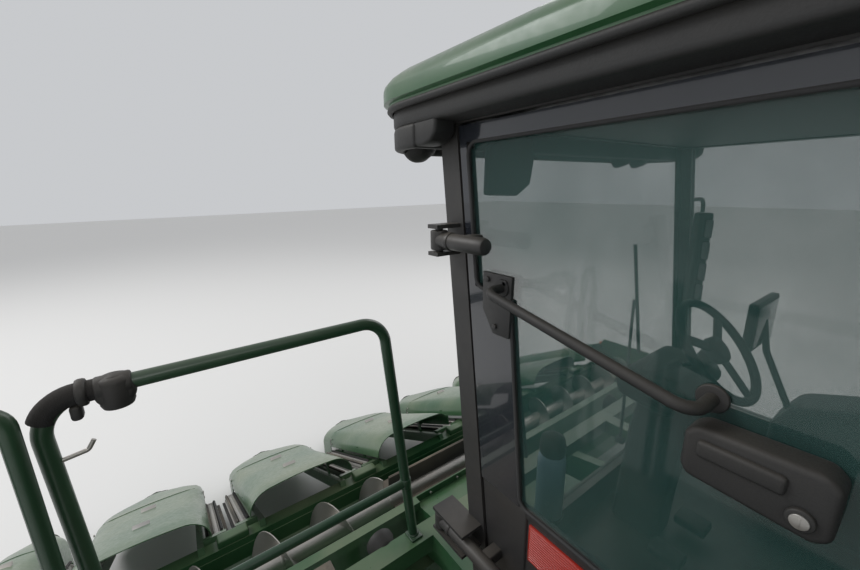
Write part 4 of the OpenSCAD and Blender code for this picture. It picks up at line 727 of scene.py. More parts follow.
# %% The console, the screen and the corner display
screen_glass = finish_of("screen_glass", (0.012, 0.016, 0.02), roughness=0.12, dust=0.05, bump=0.0, coat=0.6)
console = [drawn_out([(-0.56, 1.72), (0.24, 1.72), (0.24, 2.20), (0.20, 2.32), (-0.30, 2.33), (-0.50, 2.26),
                      (-0.56, 2.15)], 0, -0.72, -0.48, 0.03, 4),
           block((-0.70, -0.30, 2.32), (-0.50, 0.16, 2.345), 0.01, 3),
           pipe([(-0.60, -0.22, 2.33), (-0.60, -0.24, 2.44)], 0.012),
           block((-0.635, -0.275, 2.43), (-0.565, -0.215, 2.53), 0.022, 4),
           pipe([(-0.59, -0.52, 2.20), (-0.59, -0.64, 2.45), (-0.59, -0.67, 2.60)], 0.014, bend=0.06),
           block((-0.745, -0.70, 2.47), (-0.425, -0.662, 2.70), 0.012, 3)]
for i in range(4):
    console.append(drum((-0.67 + i * 0.045, -0.02, 2.343), (-0.67 + i * 0.045, -0.02, 2.358), 0.013, 20,
                        0.003))
    console.append(block((-0.69 + i * 0.05, 0.04, 2.343), (-0.655 + i * 0.05, 0.10, 2.353), 0.004))
console.append(drawn_out([(-0.865, -1.06), (-0.80, -1.10), (-0.765, -1.06), (-0.80, -1.0)], 2, 2.55, 3.06,
                         0.012, 3))
desk = close_piece(joined(console), "console_and_screen", dark_plastic, "chassis", angle=50)
panes = [block((-0.725, -0.6635, 2.49), (-0.445, -0.6595, 2.68), 0.003)]
for i in range(4):
    z = 2.575 + i * 0.118
    pane = block((-0.05, -0.003 - shift, z), (0.05, 0.003 - shift, z + 0.095), 0.003)
    pane.matrix_world = (Matrix.Translation((-0.782, -1.029 + shift, 0))
                         @ Matrix.Rotation(math.radians(60), 4, "Z"))
    only(pane)
    bpy.ops.object.transform_apply(location=True, rotation=True, scale=True)
    panes.append(pane)
close_piece(joined(panes), "display_panes", screen_glass, "chassis", angle=50)
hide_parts("cab_controls")

# %% [markdown]
# Round work lamps hang under the visor's corners and on the beam ahead of the cab. One lamp is a short drum with a
# rim, a clear face and a bracket; it is modelled once by spinning its outline, and copied with its own mesh.

# %% Work lamps and head lamps
clear_lens = finish_of("clear_lens", (0.75, 0.76, 0.74), roughness=0.12, dust=0.12, bump=0.4, grain=60,
                       coat=0.8)

def spun(profile, steps=40):
    """profile is a list of (radius, height); the shape turns about z at the world's origin"""
    nothing_selected()
    bpy.ops.mesh.primitive_plane_add(size=1)
    piece = bpy.context.object
    bpy.ops.object.mode_set(mode="EDIT")
    bpy.ops.mesh.delete(type="VERT")
    bpy.ops.object.mode_set(mode="OBJECT")
    piece.data.from_pydata([(r, 0, z) for r, z in profile], [(i, i + 1) for i in range(len(profile) - 1)], [])
    bpy.ops.object.mode_set(mode="EDIT")
    bpy.ops.mesh.select_all(action="SELECT")
    bpy.ops.mesh.spin(steps=steps, angle=2 * math.pi, center=(0, 0, 0), axis=(0, 0, 1), use_normal_flip=False)
    bpy.ops.mesh.select_all(action="SELECT")
    bpy.ops.mesh.remove_doubles(threshold=0.0002)
    bpy.ops.mesh.normals_make_consistent(inside=False)
    bpy.ops.object.mode_set(mode="OBJECT")
    return piece

def set_at(piece, place, turn=(0, 0, 0)):
    only(piece)
    piece.location = (place[0], place[1] + shift, place[2])
    piece.rotation_euler = [math.radians(a) for a in turn]
    bpy.ops.object.transform_apply(location=True, rotation=True, scale=True)
    return piece

def copy_of(piece):
    twin = piece.copy()
    twin.data = piece.data.copy()
    bpy.context.collection.objects.link(twin)
    return twin

def mirrored(piece):
    only(piece)
    piece.scale = (-1, 1, 1)
    bpy.ops.object.transform_apply(location=True, rotation=True, scale=True)
    bpy.ops.object.mode_set(mode="EDIT")
    bpy.ops.mesh.select_all(action="SELECT")
    bpy.ops.mesh.normals_make_consistent(inside=False)
    bpy.ops.object.mode_set(mode="OBJECT")
    return piece

lamp_outline = [(0, -0.045), (0.030, -0.045), (0.052, -0.025), (0.062, 0.010), (0.066, 0.018), (0.066, 0.036),
                (0.061, 0.040), (0.058, 0.034), (0, 0.034)]
lamp_body = spun(lamp_outline)
lamp_face = spun([(0, 0.0345), (0.058, 0.0345), (0.057, 0.040), (0.035, 0.045), (0, 0.0465)])
bodies, faces = [], []
spots = ([(s * x, roof_front + 0.12, 3.374) for s in (-1, 1) for x in (0.60, 0.80)]
         + [(s * 1.0, -1.53, 1.58) for s in (-1, 1)])
for x, y, z in spots:
    bodies.append(set_at(copy_of(lamp_body), (x, y, z), (90, 0, 0)))
    faces.append(set_at(copy_of(lamp_face), (x, y, z), (90, 0, 0)))
for x, y, z in spots[4:]:
    bodies.append(block((x - 0.03, y + 0.03, z - 0.05), (x + 0.03, y + 0.045, z + 0.03), 0.004))
for part in (lamp_body, lamp_face):
    bpy.data.objects.remove(part)
mirror_arm = pipe([(-0.86, -1.18, 3.12), (-1.15, -1.18, 3.12), (-1.15, -1.18, 2.95)], 0.012, bend=0.06)
mirror_case = block((-1.235, -1.210, 2.56), (-1.065, -1.155, 2.96), 0.025, 4)
shells = close_piece(joined(bodies + [mirror_arm, mirror_case]), "lamp_and_mirror_shells", dark_plastic,
                     "chassis", angle=50)
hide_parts("lamps_mirrors")
close_piece(joined(faces), "lamp_faces", clear_lens, "chassis", angle=50)
close_piece(block((-1.222, -1.1560, 2.58), (-1.078, -1.1520, 2.94), 0.002), "mirror_glass", mirror_face,
            "chassis")

# %% [markdown]
# Inside the windscreen's corner a small mirror with clipped lower corners hangs from the roof, with two wiper arms
# outside the glass below it. A pale blue bottle with a dark cap stands in a ring holder at the sill.

# %% The corner mirror, the wipers and the bottle
corner_mirror = drawn_out([(0.10, 3.34), (0.105, 3.19), (-0.035, 3.184), (-0.10, 3.222), (-0.115, 3.30),
                           (-0.11, 3.37), (0.0, 3.40)],
                          1, -1.17, -1.14, 0.008, 3)
set_at(corner_mirror, (0.635, -shift, 0))
stem = pipe([(0.635, -1.155, 3.36), (0.635, -1.17, 3.41)], 0.011)
close_piece(joined([corner_mirror, stem]), "corner_mirror", dark_plastic, "chassis", angle=50)
wipers = []
for x, reach in ((0.70, 0.55), (-0.25, 0.75)):
    foot = Vector((x, screen(1.86) - 0.025, 1.86))
    tip = Vector((x - 0.16, screen(1.86 + reach) - 0.03, 1.86 + reach))
    wipers += [pipe([tuple(foot), tuple(tip)], 0.008),
               drum(tuple(foot + Vector((0, 0.02, 0))), tuple(foot - Vector((0, 0.02, 0))), 0.02, 24, 0.003),
               pipe([(tip.x - 0.02, screen(tip.z - 0.3) - 0.015, tip.z - 0.3),
                     (tip.x + 0.02, screen(tip.z + 0.3) - 0.015, tip.z + 0.3)], 0.009)]
close_piece(joined(wipers), "windscreen_wipers", dark_plastic, "chassis", angle=50)
pale_blue = finish_of("pale_blue", (0.30, 0.46, 0.58), roughness=0.3, dust=0.1, bump=0.02, coat=0.3)
bottle = set_at(spun([(0, 0), (0.044, 0), (0.050, 0.008), (0.050, 0.23), (0.047, 0.25), (0.040, 0.262),
                      (0, 0.262)]), (0.60, -0.93, 2.02))
close_piece(bottle, "bottle", pale_blue, "chassis", angle=40)
holder = [set_at(spun([(0, 0.262), (0.042, 0.262), (0.046, 0.268), (0.046, 0.30), (0.040, 0.325),
                       (0.02, 0.335), (0, 0.336)]), (0.60, -0.93, 2.02)),
          pipe([(0.60, -0.93, 1.72), (0.60, -0.93, 2.02)], 0.014),
          drum((0.60, -0.93, 2.008), (0.60, -0.93, 2.022), 0.055, 32, 0.003),
          drum((0.60, -0.93, 1.719), (0.60, -0.93, 1.727), 0.06, 32, 0.002)]
close_piece(joined(holder), "bottle_holder", dark_plastic, "chassis", angle=50)

# %% [markdown]
# The drive tyre's carcass is an outline turned about its axle. One lug is a bent bar with a foot that runs down the
# shoulder; it is modelled once and copied round the tyre in two rows that meet at the crown, half a step apart.

# %% A drive tyre
def turned(piece, degrees, axis="X"):
    only(piece)
    piece.matrix_world = Matrix.Rotation(math.radians(degrees), 4, axis) @ piece.matrix_world
    bpy.ops.object.transform_apply(location=True, rotation=True, scale=True)
    return piece

def both_ways(half):
    """half is an outline (radius, x) from the crown out to the bead; the other half is its mirror image"""
    return [(r, -x) for r, x in reversed(half)] + [(r, x) for r, x in half if x > 0]

def ring_of(loop, steps=72):
    return turned(spun(loop + loop[:1], steps), 90, "Y")

carcass = ring_of(both_ways([(0.772, 0), (0.771, 0.13), (0.766, 0.24), (0.757, 0.292), (0.738, 0.316),
                             (0.700, 0.3205),
                             (0.692, 0.317), (0.640, 0.316), (0.634, 0.311), (0.57, 0.296), (0.535, 0.284),
                             (0.518, 0.284),
                             (0.508, 0.272), (0.494, 0.256), (0.486, 0.245)]), 96)
lug = drawn_out([(-0.004, -0.026 - shift), (0.10, 0.016 - shift), (0.20, 0.062 - shift),
                 (0.312, 0.090 - shift), (0.316, 0.150 - shift),
                 (0.19, 0.114 - shift), (0.09, 0.066 - shift), (-0.004, 0.024 - shift)], 2, 0.762, 0.806, 0)
foot = drawn_out([(0.092 - shift, 0.79), (0.148 - shift, 0.79), (0.168 - shift, 0.69), (0.110 - shift, 0.69)],
                 0, 0.300, 0.322, 0)
round_edges(lug, 0.007, 2, 25)
round_edges(foot, 0.006, 2, 25)
lug = joined([lug, foot])
lug_twin = turned(mirrored(copy_of(lug)), 9)
row = [turned(copy_of(l), 18 * k) for k in range(20) for l in (lug, lug_twin)]
for spare in (lug, lug_twin):
    bpy.data.objects.remove(spare)
drive_tyre = joined([carcass] + row)

# %% [markdown]
# The steered tyre has ribs that run round it. Both rims are pressed dishes: the outline carries the beads, the well
# and the dish, hand holes are cut through the dish, and the nuts are set on their circle.

# %% A steered tyre and the rims
ribs_side = []
for x0, x1 in ((0.0, 0.028), (0.062, 0.092), (0.128, 0.152)):
    top = 0.622 - x0 * x0 * 0.9
    ribs_side += [(top - 0.016, x0 - 0.006)] * (x0 > 0) + [(top, x0), (top - 0.002, x1),
                                                           (top - 0.018, x1 + 0.006)]
steer_tyre = ring_of(both_ways(ribs_side + [(0.575, 0.166), (0.54, 0.178), (0.50, 0.181), (0.455, 0.176),
                                            (0.44, 0.171), (0.40, 0.158),
                                            (0.382, 0.150), (0.366, 0.142)]), 96)

def rim_of(radius, half, dish_x, hub_r, nuts, nut_r, hole_r, holes_at):
    well = radius * 0.90
    loop = [(radius + 0.012, half + 0.004), (radius + 0.006, half + 0.010), (radius - 0.008, half),
            (radius - 0.018, half - 0.03),
            (well, half - 0.09), (well - 0.006, dish_x + 0.030), (well - 0.020, dish_x + 0.014),
            (well - 0.07, dish_x),
            (well * 0.62, dish_x + 0.020), (well * 0.56, dish_x + 0.044), (hub_r + 0.02, dish_x + 0.046),
            (hub_r, dish_x + 0.040),
            (hub_r, dish_x - 0.01), (well * 0.58, dish_x - 0.002), (well - 0.07, dish_x - 0.016),
            (well - 0.004, dish_x - 0.012),
            (well + 0.004, -half + 0.08), (radius - 0.018, -half + 0.03), (radius - 0.006, -half),
            (radius + 0.012, -half - 0.004),
            (radius - 0.002, -half + 0.010), (radius - 0.012, -half + 0.05), (radius - 0.012, half - 0.05),
            (radius - 0.002, half - 0.010)]
    rim = ring_of(loop)
    cutters = [turned(drum((dish_x - 0.1, -shift, holes_at), (dish_x + 0.1, -shift, holes_at), hole_r, 28, 0),
                      360 * k / 8 + 22.5) for k in range(8)]
    cutter = joined(cutters)
    only(rim)
    cut = rim.modifiers.new("holes", "BOOLEAN")
    cut.operation, cut.object, cut.solver = "DIFFERENCE", cutter, "EXACT"
    apply_all(rim)
    bpy.data.objects.remove(cutter)
    round_edges(rim, 0.003, 1, 50)
    face = dish_x + 0.045
    bolts = [turned(drum((face, -shift, nut_r), (face + 0.018, -shift, nut_r), 0.016, 6, 0.002),
                    360 * k / nuts) for k in range(nuts)]
    bolts += [turned(drum((face + 0.017, -shift, nut_r), (face + 0.028, -shift, nut_r), 0.009, 16, 0.001),
                     360 * k / nuts) for k in range(nuts)]
    return joined([rim]), joined(bolts)

def hub_of(x0, x1, radius):
    parts = [drum((x0, -shift, 0), (x1, -shift, 0), radius, 48, 0.006),
             drum((x1 - 0.004, -shift, 0), (x1 + 0.010, -shift, 0), radius * 0.72, 48, 0.005)]
    parts += [turned(drum((x1 - 0.002, -shift, radius * 0.85), (x1 + 0.008, -shift, radius * 0.85), 0.009, 6,
                          0.001), 45 * k) for k in range(8)]
    return joined(parts)

drive_rim, drive_nuts = rim_of(0.490, 0.256, 0.062, 0.120, 10, 0.205, 0.036, 0.325)
steer_rim, steer_nuts = rim_of(0.370, 0.144, 0.030, 0.085, 8, 0.140, 0.026, 0.240)
drive_hub, steer_hub = hub_of(0.060, 0.135, 0.128), hub_of(0.030, 0.098, 0.088)

# %% Set the wheels on both sides
def set_wheels(kind, place, pieces):
    for side in ("left", "right"):
        for piece, name, material, slot, node in pieces:
            twin = copy_of(piece)
            if side == "right":
                mirrored(twin)
            twin = set_at(twin, (place[0] if side == "left" else -place[0], place[1], place[2]))
            close_piece(twin, f"{name}_{side}", material, f"{kind}_wheel_{side}", angle=40)
            if node:
                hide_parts(f"{node}_{side}")
    for entry in pieces:
        bpy.data.objects.remove(entry[0])

set_wheels("drive", (1.45, 0, 0.81), [(drive_tyre, "drive_tread", tyre_rubber, "tyre_rubber", "drive_tyre"),
                                      (drive_rim, "drive_dish", yellow_paint, "paint_yellow", "drive_rim"),
                                      (drive_nuts, "drive_nuts", worn_steel, "bare_steel", None),
                                      (drive_hub, "drive_hub", cast_grey, "cast_grey", None)])
set_wheels("steer", (1.43, 4.0, 0.625), [(steer_tyre, "steer_tread", tyre_rubber, "tyre_rubber",
                                          "steer_tyre"),
                                         (steer_rim, "steer_dish", yellow_paint, "paint_yellow", "steer_rim"),
                                         (steer_nuts, "steer_nuts", worn_steel, "bare_steel", None),
                                         (steer_hub, "steer_hub", cast_grey, "cast_grey", None)])

# %% [markdown]
# The header's sheets are formed over long soft curves. A flat grid is bent to shape by giving each of its points a
# place from two numbers, across and along, and is then given its thickness. The dividers and snouts are made so.

# %% A helper for formed sheets
def formed(place, across=16, along=16, thick=0.006):
    """place(u, v) gives a point for u from -1 to 1 across and v from 0 to 1 along"""
    nothing_selected()
    bpy.ops.mesh.primitive_grid_add(x_subdivisions=across, y_subdivisions=along, size=2)
    piece = bpy.context.object
    for vertex in piece.data.vertices:
        x, y, z = place(vertex.co.x, (vertex.co.y + 1) / 2)
        vertex.co = (x, y + shift, z)
    only(piece)
    if thick:
        wall = piece.modifiers.new("wall", "SOLIDIFY")
        wall.thickness, wall.offset, wall.use_quality_normals = thick, -1, True
        apply_all(piece)
    bpy.ops.object.mode_set(mode="EDIT")
    bpy.ops.mesh.select_all(action="SELECT")
    bpy.ops.mesh.normals_make_consistent(inside=False)
    bpy.ops.object.mode_set(mode="OBJECT")
    return piece

def along_line(t, stops):
    for (t0, a), (t1, b) in zip(stops, stops[1:]):
        if t <= t1:
            return a + (b - a) * max(0.0, (t - t0) / (t1 - t0))
    return stops[-1][1]

def arch(u, half, low, high, radius):
    """a point of an upside-down U, for u from -1 to 1: two legs, two round corners and a crown"""
    radius = min(radius, half * 0.95, max(0.01, (high - low) * 0.95))
    leg, turn, flat = high - low - radius, radius * math.pi / 2, half - radius
    s, side = abs(u) * (leg + turn + flat), 1 if u > 0 else -1
    if s < flat:
        return side * s, high + 0.012 * (1 - (s / max(flat, 0.001)) ** 2)
    if s < flat + turn:
        a = (s - flat) / radius
        return side * (flat + radius * math.sin(a)), high - radius * (1 - math.cos(a))
    return side * half, high - radius - (s - flat - turn)

# %% One divider shell and one snout, copied along the header
pitch, header_half, snout_tip, shell_front, shell_back = 1.016, 3.080, -4.640, -3.940, -2.762

def shell_point(half):
    def place(u, v):
        y = shell_front + (shell_back - shell_front) * v
        high = along_line(y, [(-3.94, 0.548), (-3.62, 0.715), (-3.30, 0.885), (-2.90, 1.098),
                              (-2.762, 1.160)])
        low = 0.380 + 0.605 * v
        x, z = arch(u, half - 0.002, low, high, along_line(v, [(0, 0.10), (0.5, 0.20), (1, 0.24)]))
        return x, y, z
    return place

def snout_point(half):
    def place(u, v):
        y = snout_tip + 0.004 + (shell_front - snout_tip - 0.006) * v
        wide = half * math.sin(min(1.0, v * 1.16) * math.pi / 2) ** 0.85 + 0.022
        high = along_line(v, [(0, 0.150), (0.12, 0.215), (0.62, 0.405), (1, 0.552)])
        x, z = arch(u, min(wide, half - 0.001), along_line(v, [(0, 0.104), (0.65, 0.110), (1, 0.185)]), high,
                    min(0.11, wide * 0.8))
        return x, y, z
    return place

shells, snouts, tips, straps = [], [], [], []
for i in range(7):
    x = (i - 3) * pitch
    low_x, high_x = max(x - 0.39, -header_half), min(x + 0.39, header_half)
    half, middle = (high_x - low_x) / 2, (low_x + high_x) / 2
    shells.append(set_at(formed(shell_point(half), 30, 24), (middle, -shift, 0)))
    snouts.append(set_at(formed(snout_point(half), 26, 26, 0.008), (middle, -shift, 0)))
    tips.append(set_at(formed(lambda u, v: snout_point(half)(u, v * 0.16), 20, 6, -0.005),
                       (middle, -shift, 0)))
    for y, z in ((-3.72, 0.665), (-3.18, 0.95)):
        straps.append(block((middle - 0.05, y - 0.02, z + 0.008), (middle + 0.05, y + 0.10, z + 0.024), 0.006,
                            2))
    for side in (-1, 1):
        for y, z in ((-3.90, 0.50), (-3.90, 0.44)):
            straps.append(drum((middle + side * (half - 0.003), y, z), (middle + side * (half + 0.005), y, z),
                               0.010, 6, 0.002))
        pin_x, pin_y = middle + side * half * 0.99, shell_front + 0.006
        straps.append(pipe([(pin_x, pin_y, 0.40), (pin_x, pin_y, 0.47)], 0.005))
shell_piece = close_piece(joined(shells), "divider_covers", green_paint, "header", angle=50)
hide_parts("divider_shells")
snout_piece = close_piece(joined(snouts), "snout_cones", green_paint, "header", angle=50)
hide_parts("divider_snouts")
close_piece(joined(tips), "snout_tips", dark_plastic, "header", angle=50)
close_piece(joined(straps), "divider_fasteners", worn_steel, "header", angle=50)

# %% [markdown]
# The cross auger's flight is a true helix: a short radial edge is swept round the tube by a screw modifier, and its
# sheet is given a thickness. The left half is made first and mirrored, so both halves bring the cotton to the middle,
# where flat paddles throw it into the duct.

# %% The cross auger
auger_y, auger_z = -2.43, 0.85

def helix(start, length, pitch_m, inner, outer, thick):
    nothing_selected()
    bpy.ops.mesh.primitive_plane_add(size=1)
    piece = bpy.context.object
    bpy.ops.object.mode_set(mode="EDIT")
    bpy.ops.mesh.delete(type="VERT")
    bpy.ops.object.mode_set(mode="OBJECT")
    piece.data.from_pydata([(start, 0, inner), (start, 0, outer)], [(0, 1)], [])
    sweep = piece.modifiers.new("sweep", "SCREW")
    sweep.axis, sweep.angle, sweep.screw_offset = "X", 2 * math.pi * length / pitch_m, length
    sweep.steps = sweep.render_steps = round(28 * length / pitch_m)
    wall = piece.modifiers.new("wall", "SOLIDIFY")
    wall.thickness, wall.offset = thick, 0
    apply_all(piece)
    round_edges(piece, 0.0015, 1, 50)
    return piece

flight_length = header_half + 0.032 - 0.560
flight = helix(0.524, flight_length - 0.008, 0.400, 0.066, 0.214, 0.007)
flights = [flight, mirrored(copy_of(flight))]
tube = [drum((-3.080, -shift, 0), (3.080, -shift, 0), 0.070, 48, 0.003),
        drum((-3.15, -shift, 0), (3.15, -shift, 0), 0.030, 32, 0.003)]
for x in (-3.06, -2.2, -1.3, -0.50, 0.50, 1.3, 2.2, 3.06):
    tube.append(drum((x - 0.012, -shift, 0), (x + 0.012, -shift, 0), 0.0745, 48, 0.004))
paddles = []
for k in range(4):
    paddles.append(turned(block((-0.478, -0.004 - shift, 0.06), (0.478, 0.004 - shift, 0.208), 0.003),
                          90 * k))
    paddles.append(turned(block((-0.470, -0.016 - shift, 0.150), (0.470, -0.004 - shift, 0.210), 0.004),
                          90 * k))
    for x in (-0.4, -0.2, 0, 0.2, 0.4):
        tube.append(turned(drum((x, -0.022 - shift, 0.18), (x, -0.014 - shift, 0.18), 0.009, 6, 0.001),
                           90 * k))
auger = [set_at(part, (0, auger_y, auger_z)) for part in flights + tube]
auger_piece = close_piece(joined(auger), "auger_tube_and_flights", worn_steel, "auger",
                          angle=40)
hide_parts("cross_auger")
close_piece(joined([set_at(part, (0, auger_y, auger_z)) for part in paddles]), "auger_paddles", bat_rubber,
            "auger")

# %% [markdown]
# A stripper roll carries three brushes and three rubber bats in turn. A brush is a holder with a row of tufts; the
# roll is modelled once along its own axis, and both rolls of all six rows are copies set on their slope.

# %% The stripper rolls
roll_len, slope, roll_aside, roll_foot = 1.080, math.radians(27), 0.086, (-3.88, 0.30)
core = [drum((0, -shift, -0.034), (0, -shift, roll_len + 0.056), 0.015, 24, 0.002),
        drum((0, -shift, 0), (0, -shift, roll_len), 0.0455, 36, 0.006),
        drum((0, -shift, -0.004), (0, -shift, 0.012), 0.052, 36, 0.003),
        drum((0, -shift, roll_len - 0.012), (0, -shift, roll_len + 0.004), 0.052, 36, 0.003)]
bats, brushes = [], []
for k in range(6):
    if k % 2:
        bats.append(turned(block((0.040, -0.008 - shift, 0.006), (0.0735, 0.008 - shift, roll_len - 0.006),
                                 0.005, 3), 60 * k, "Z"))
        core.append(turned(block((0.038, -0.013 - shift, 0.004), (0.050, 0.013 - shift, roll_len - 0.004),
                                 0.003), 60 * k, "Z"))
    else:
        core.append(turned(block((0.038, -0.012 - shift, 0.004), (0.053, 0.012 - shift, roll_len - 0.004),
                                 0.004), 60 * k, "Z"))
        tuft = drum((0.050, -shift, 0.02), (0.0735, -shift, 0.02), 0.0065, 8, 0, 0.0095)
        row = tuft.modifiers.new("row", "ARRAY")
        row.use_relative_offset, row.use_constant_offset = False, True
        row.constant_offset_displace, row.count = (0, 0, 0.0153), 69
        apply_all(tuft)
        brushes.append(turned(tuft, 60 * k, "Z"))
masters = [(joined(core), "roll_core", worn_steel, "bare_steel"),
           (joined(bats), "roll_bats", bat_rubber, "bat_rubber"),
           (joined(brushes), "roll_brushes", soft_plastic, "bat_rubber")]
for i in range(6):
    for side, name in ((1, "left"), (-1, "right")):
        for piece, label, material, slot in masters:
            twin = copy_of(piece)
            only(twin)
            twin.matrix_world = (Matrix.Translation(((i - 2.5) * pitch, roll_foot[0] + shift, roll_foot[1]))
                                 @ Matrix.Rotation(slope, 4, "X")
                                 @ Matrix.Translation((side * roll_aside, 0, 0))
                                 @ Matrix.Rotation(-math.pi / 2, 4, "X"))
            close_piece(twin, f"{label}_{i + 1}_{name}", material, f"roll_{i + 1}_{name}", angle=40)
            if label == "roll_core":
                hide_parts(f"roll_{i + 1}_{name}")
for master in masters:
    bpy.data.objects.remove(master[0])

# %% Bearings, chain cases and the header's ends
ends = []
for i in range(6):
    for side in (-1, 1):
        x = (i - 2.5) * pitch + side * roll_aside
        for along, reach in ((-0.034, -0.018), (roll_len + 0.066, 0.014)):
            y, z = roll_foot[0] + along * math.cos(slope), roll_foot[1] + along * math.sin(slope)
            ends.append(drum((x, y, z), (x, y + reach * math.cos(slope), z + reach * math.sin(slope)), 0.030,
                             20, 0.003))
            ends.append(drum((x, y, z), (x, y + reach * 1.4 * math.cos(slope),
                                         z + reach * 1.4 * math.sin(slope)), 0.012, 6, 0.001))
close_piece(joined(ends), "roll_bearings", cast_grey, "header", angle=40)
orange_marker = finish_of("orange_marker", (0.75, 0.12, 0.02), roughness=0.3, dust=0.15, bump=0.02, coat=0.4)
cases, markers, bolts = [], [], []
for side in (-1, 1):
    x = side * 3.092
    cases.append(drawn_out([(-2.66, 0.66), (-2.60, 0.60), (-2.24, 0.64), (-2.18, 0.72), (-2.20, 1.02),
                            (-2.28, 1.10), (-2.58, 1.10), (-2.66, 1.02)], 0,
                           x, x + side * 0.030, 0.012, 3))
    bolts.append(drum((x, auger_y, auger_z), (x + side * 0.040, auger_y, auger_z), 0.055, 32, 0.006))
    for y, z in ((-2.62, 0.70), (-2.62, 1.04), (-2.24, 0.74), (-2.24, 1.02)):
        bolts.append(drum((x + side * 0.028, y, z), (x + side * 0.038, y, z), 0.012, 6, 0.002))
    for y in (-2.80, -2.12):
        markers.append(block((x - 0.001, y - 0.03, 1.00), (x + side * 0.008, y + 0.03, 1.13), 0.004)
                       if side > 0 else
                       block((x - 0.008, y - 0.03, 1.00), (x + 0.001, y + 0.03, 1.13), 0.004))
for x in [(i - 2.5) * pitch for i in range(6)]:
    cases.append(block((x - 0.10, -2.845, 0.845), (x + 0.10, -2.765, 0.905), 0.012, 3))
for i in range(26):
    x = -3.0 + 6.0 * i / 25
    bolts.append(drum((x, -2.042, 1.155), (x, -2.030, 1.155), 0.009, 6, 0.001))
    bolts.append(drum((x, -2.760, 0.775), (x, -2.768, 0.775), 0.009, 6, 0.001))
close_piece(joined(cases), "header_drive_cases", green_paint, "header", angle=40)
close_piece(joined(markers), "header_end_markers", orange_marker, "header", angle=40)
close_piece(joined(bolts), "header_bolts", worn_steel, "header", angle=40)
print("header pieces", len(shells), "rolls", 12)

# %% [markdown]
# The basket's walls are sheet between ribs, and its upper panels are perforated so air gets out while the cotton
# stays in. The perforation is a dot pattern on Object coordinates; the holes get a near-black painted shade to look
# deep.

# %% A perforated sheet with painted shade in its holes
def perforated(name, colour, step=0.028, share=0.52, dust=0.35):
    material = finish_of(name, colour, roughness=0.5, dust=dust, bump=0.1)
    nodes, links = material.node_tree.nodes, material.node_tree.links
    shader = nodes["Principled BSDF"]
    where = nodes.new("ShaderNodeTexCoord")
    split = nodes.new("ShaderNodeSeparateXYZ")
    links.new(where.outputs["Object"], split.inputs[0])
    def maths(kind, a, b=0.0):
        node = nodes.new("ShaderNodeMath")
        node.operation = kind
        for socket, value in zip(node.inputs, (a, b)):
            if isinstance(value, (int, float)):
                socket.default_value = value
            else:
                links.new(value, socket)
        return node.outputs[0]
    flat = maths("ADD", split.outputs["X"], split.outputs["Y"])
    waves = [maths("SINE", maths("MULTIPLY", v, 2 * math.pi / step)) for v in (flat, split.outputs["Z"])]
    # the hole mask: where the sheet is painted near-black as shade
    hole_shade_mask = maths("GREATER_THAN", maths("MULTIPLY", waves[0], waves[1]), 1 - share)
    between = maths("MULTIPLY", maths("MULTIPLY", waves[0], -1), maths("MULTIPLY", waves[1], 1))
    hole_shade_mask = maths("MAXIMUM", hole_shade_mask, maths("GREATER_THAN", between, 1 - share))
    before = shader.inputs["Base Color"].links[0].from_socket
    mix = nodes.new("ShaderNodeMix")
    mix.data_type = "RGBA"
    links.new(hole_shade_mask, mix.inputs["Factor"])
    links.new(before, mix.inputs[6])
    # near-black painted shade in the holes, standing in for the dark space behind the sheet
    mix.inputs[7].default_value = (0.012, 0.012, 0.010, 1)
    links.new(mix.outputs[2], shader.inputs["Base Color"])
    return material

# both screens carry painted shade in their holes
screen_green = perforated("screen_green", (0.028, 0.11, 0.04))
screen_dark = perforated("screen_dark", (0.10, 0.10, 0.09), step=0.030, share=0.62)
pale_rib = finish_of("pale_rib", (0.42, 0.44, 0.34), roughness=0.55, dust=0.5, bump=0.1)
straw_dust = finish_of("straw_dust", (0.17, 0.15, 0.085), roughness=0.8, dust=0.7, bump=0.3)

# %% The basket's panels, ribs and rim
b_front, b_back, b_half, b_top = 2.33, 5.06, 1.83, 4.25
net, ribs, greens, dusty = [], [], [], []
for side in (-1, 1):
    face = side * b_half
    def slab(y0, y1, z0, z1, low, high, bevel=0.004):
        return block((min(face + side * low, face + side * high), y0, z0),
                     (max(face + side * low, face + side * high), y1, z1), bevel)
    for y0, y1 in ((2.48, 3.18), (3.29, 4.11), (4.22, 4.91)):
        net.append(slab(y0, y1, 2.98, 4.13, -0.002, 0.006, 0))
        for z in (2.93, 3.54, 4.13):
            greens.append(slab(y0 - 0.01, y1 + 0.01, z, z + 0.05, -0.002, 0.022))
        dusty.append(slab(y0, y1, 2.20, 2.90, -0.002, 0.005, 0))
        greens.append(slab(y0 - 0.01, y1 + 0.01, 2.15, 2.20, -0.002, 0.022))
    for y in (2.39, 3.20, 4.13, 4.93):
        greens.append(slab(y - 0.006, y + 0.076, 2.118, 4.255, 0.0, 0.052, 0.010))
    greens.append(pipe([(face, b_front + 0.01, b_top), (face, b_back - 0.01, b_top)], 0.030, sides=6))
for y in (b_front, b_back):
    greens.append(pipe([(-b_half + 0.02, y, b_top), (b_half - 0.02, y, b_top)], 0.030, sides=6))
for x in (-1.03, -0.27, 0.50, 1.31):
    low = 1.482 if abs(x) < 1.15 else 2.122
    ribs.append(block((x - 0.042, b_back - 0.001, low), (x + 0.042, b_back + 0.066, 3.70), 0.012, 3))
for x0, x1 in ((-1.80, -1.08), (-0.98, -0.32), (-0.22, 0.45), (0.55, 1.26), (1.36, 1.80)):
    inner = max(abs(x0), abs(x1)) < 1.16
    for z0, z1 in ((2.23, 2.88), (2.98, 3.68)):
        dusty.append(block((x0, b_back - 0.002, z0), (x1, b_back + 0.008, z1), 0.003))
    if inner:
        dusty.append(block((x0, b_back - 0.002, 1.52), (x1, b_back + 0.008, 2.13), 0.003))
    greens.append(block((x0 - 0.06, b_back, 2.91), (x1 + 0.06, b_back + 0.045, 2.95), 0.006))
greens.append(block((-b_half, b_back - 0.001, 3.72), (b_half, b_back + 0.030, 4.22), 0.010, 3))
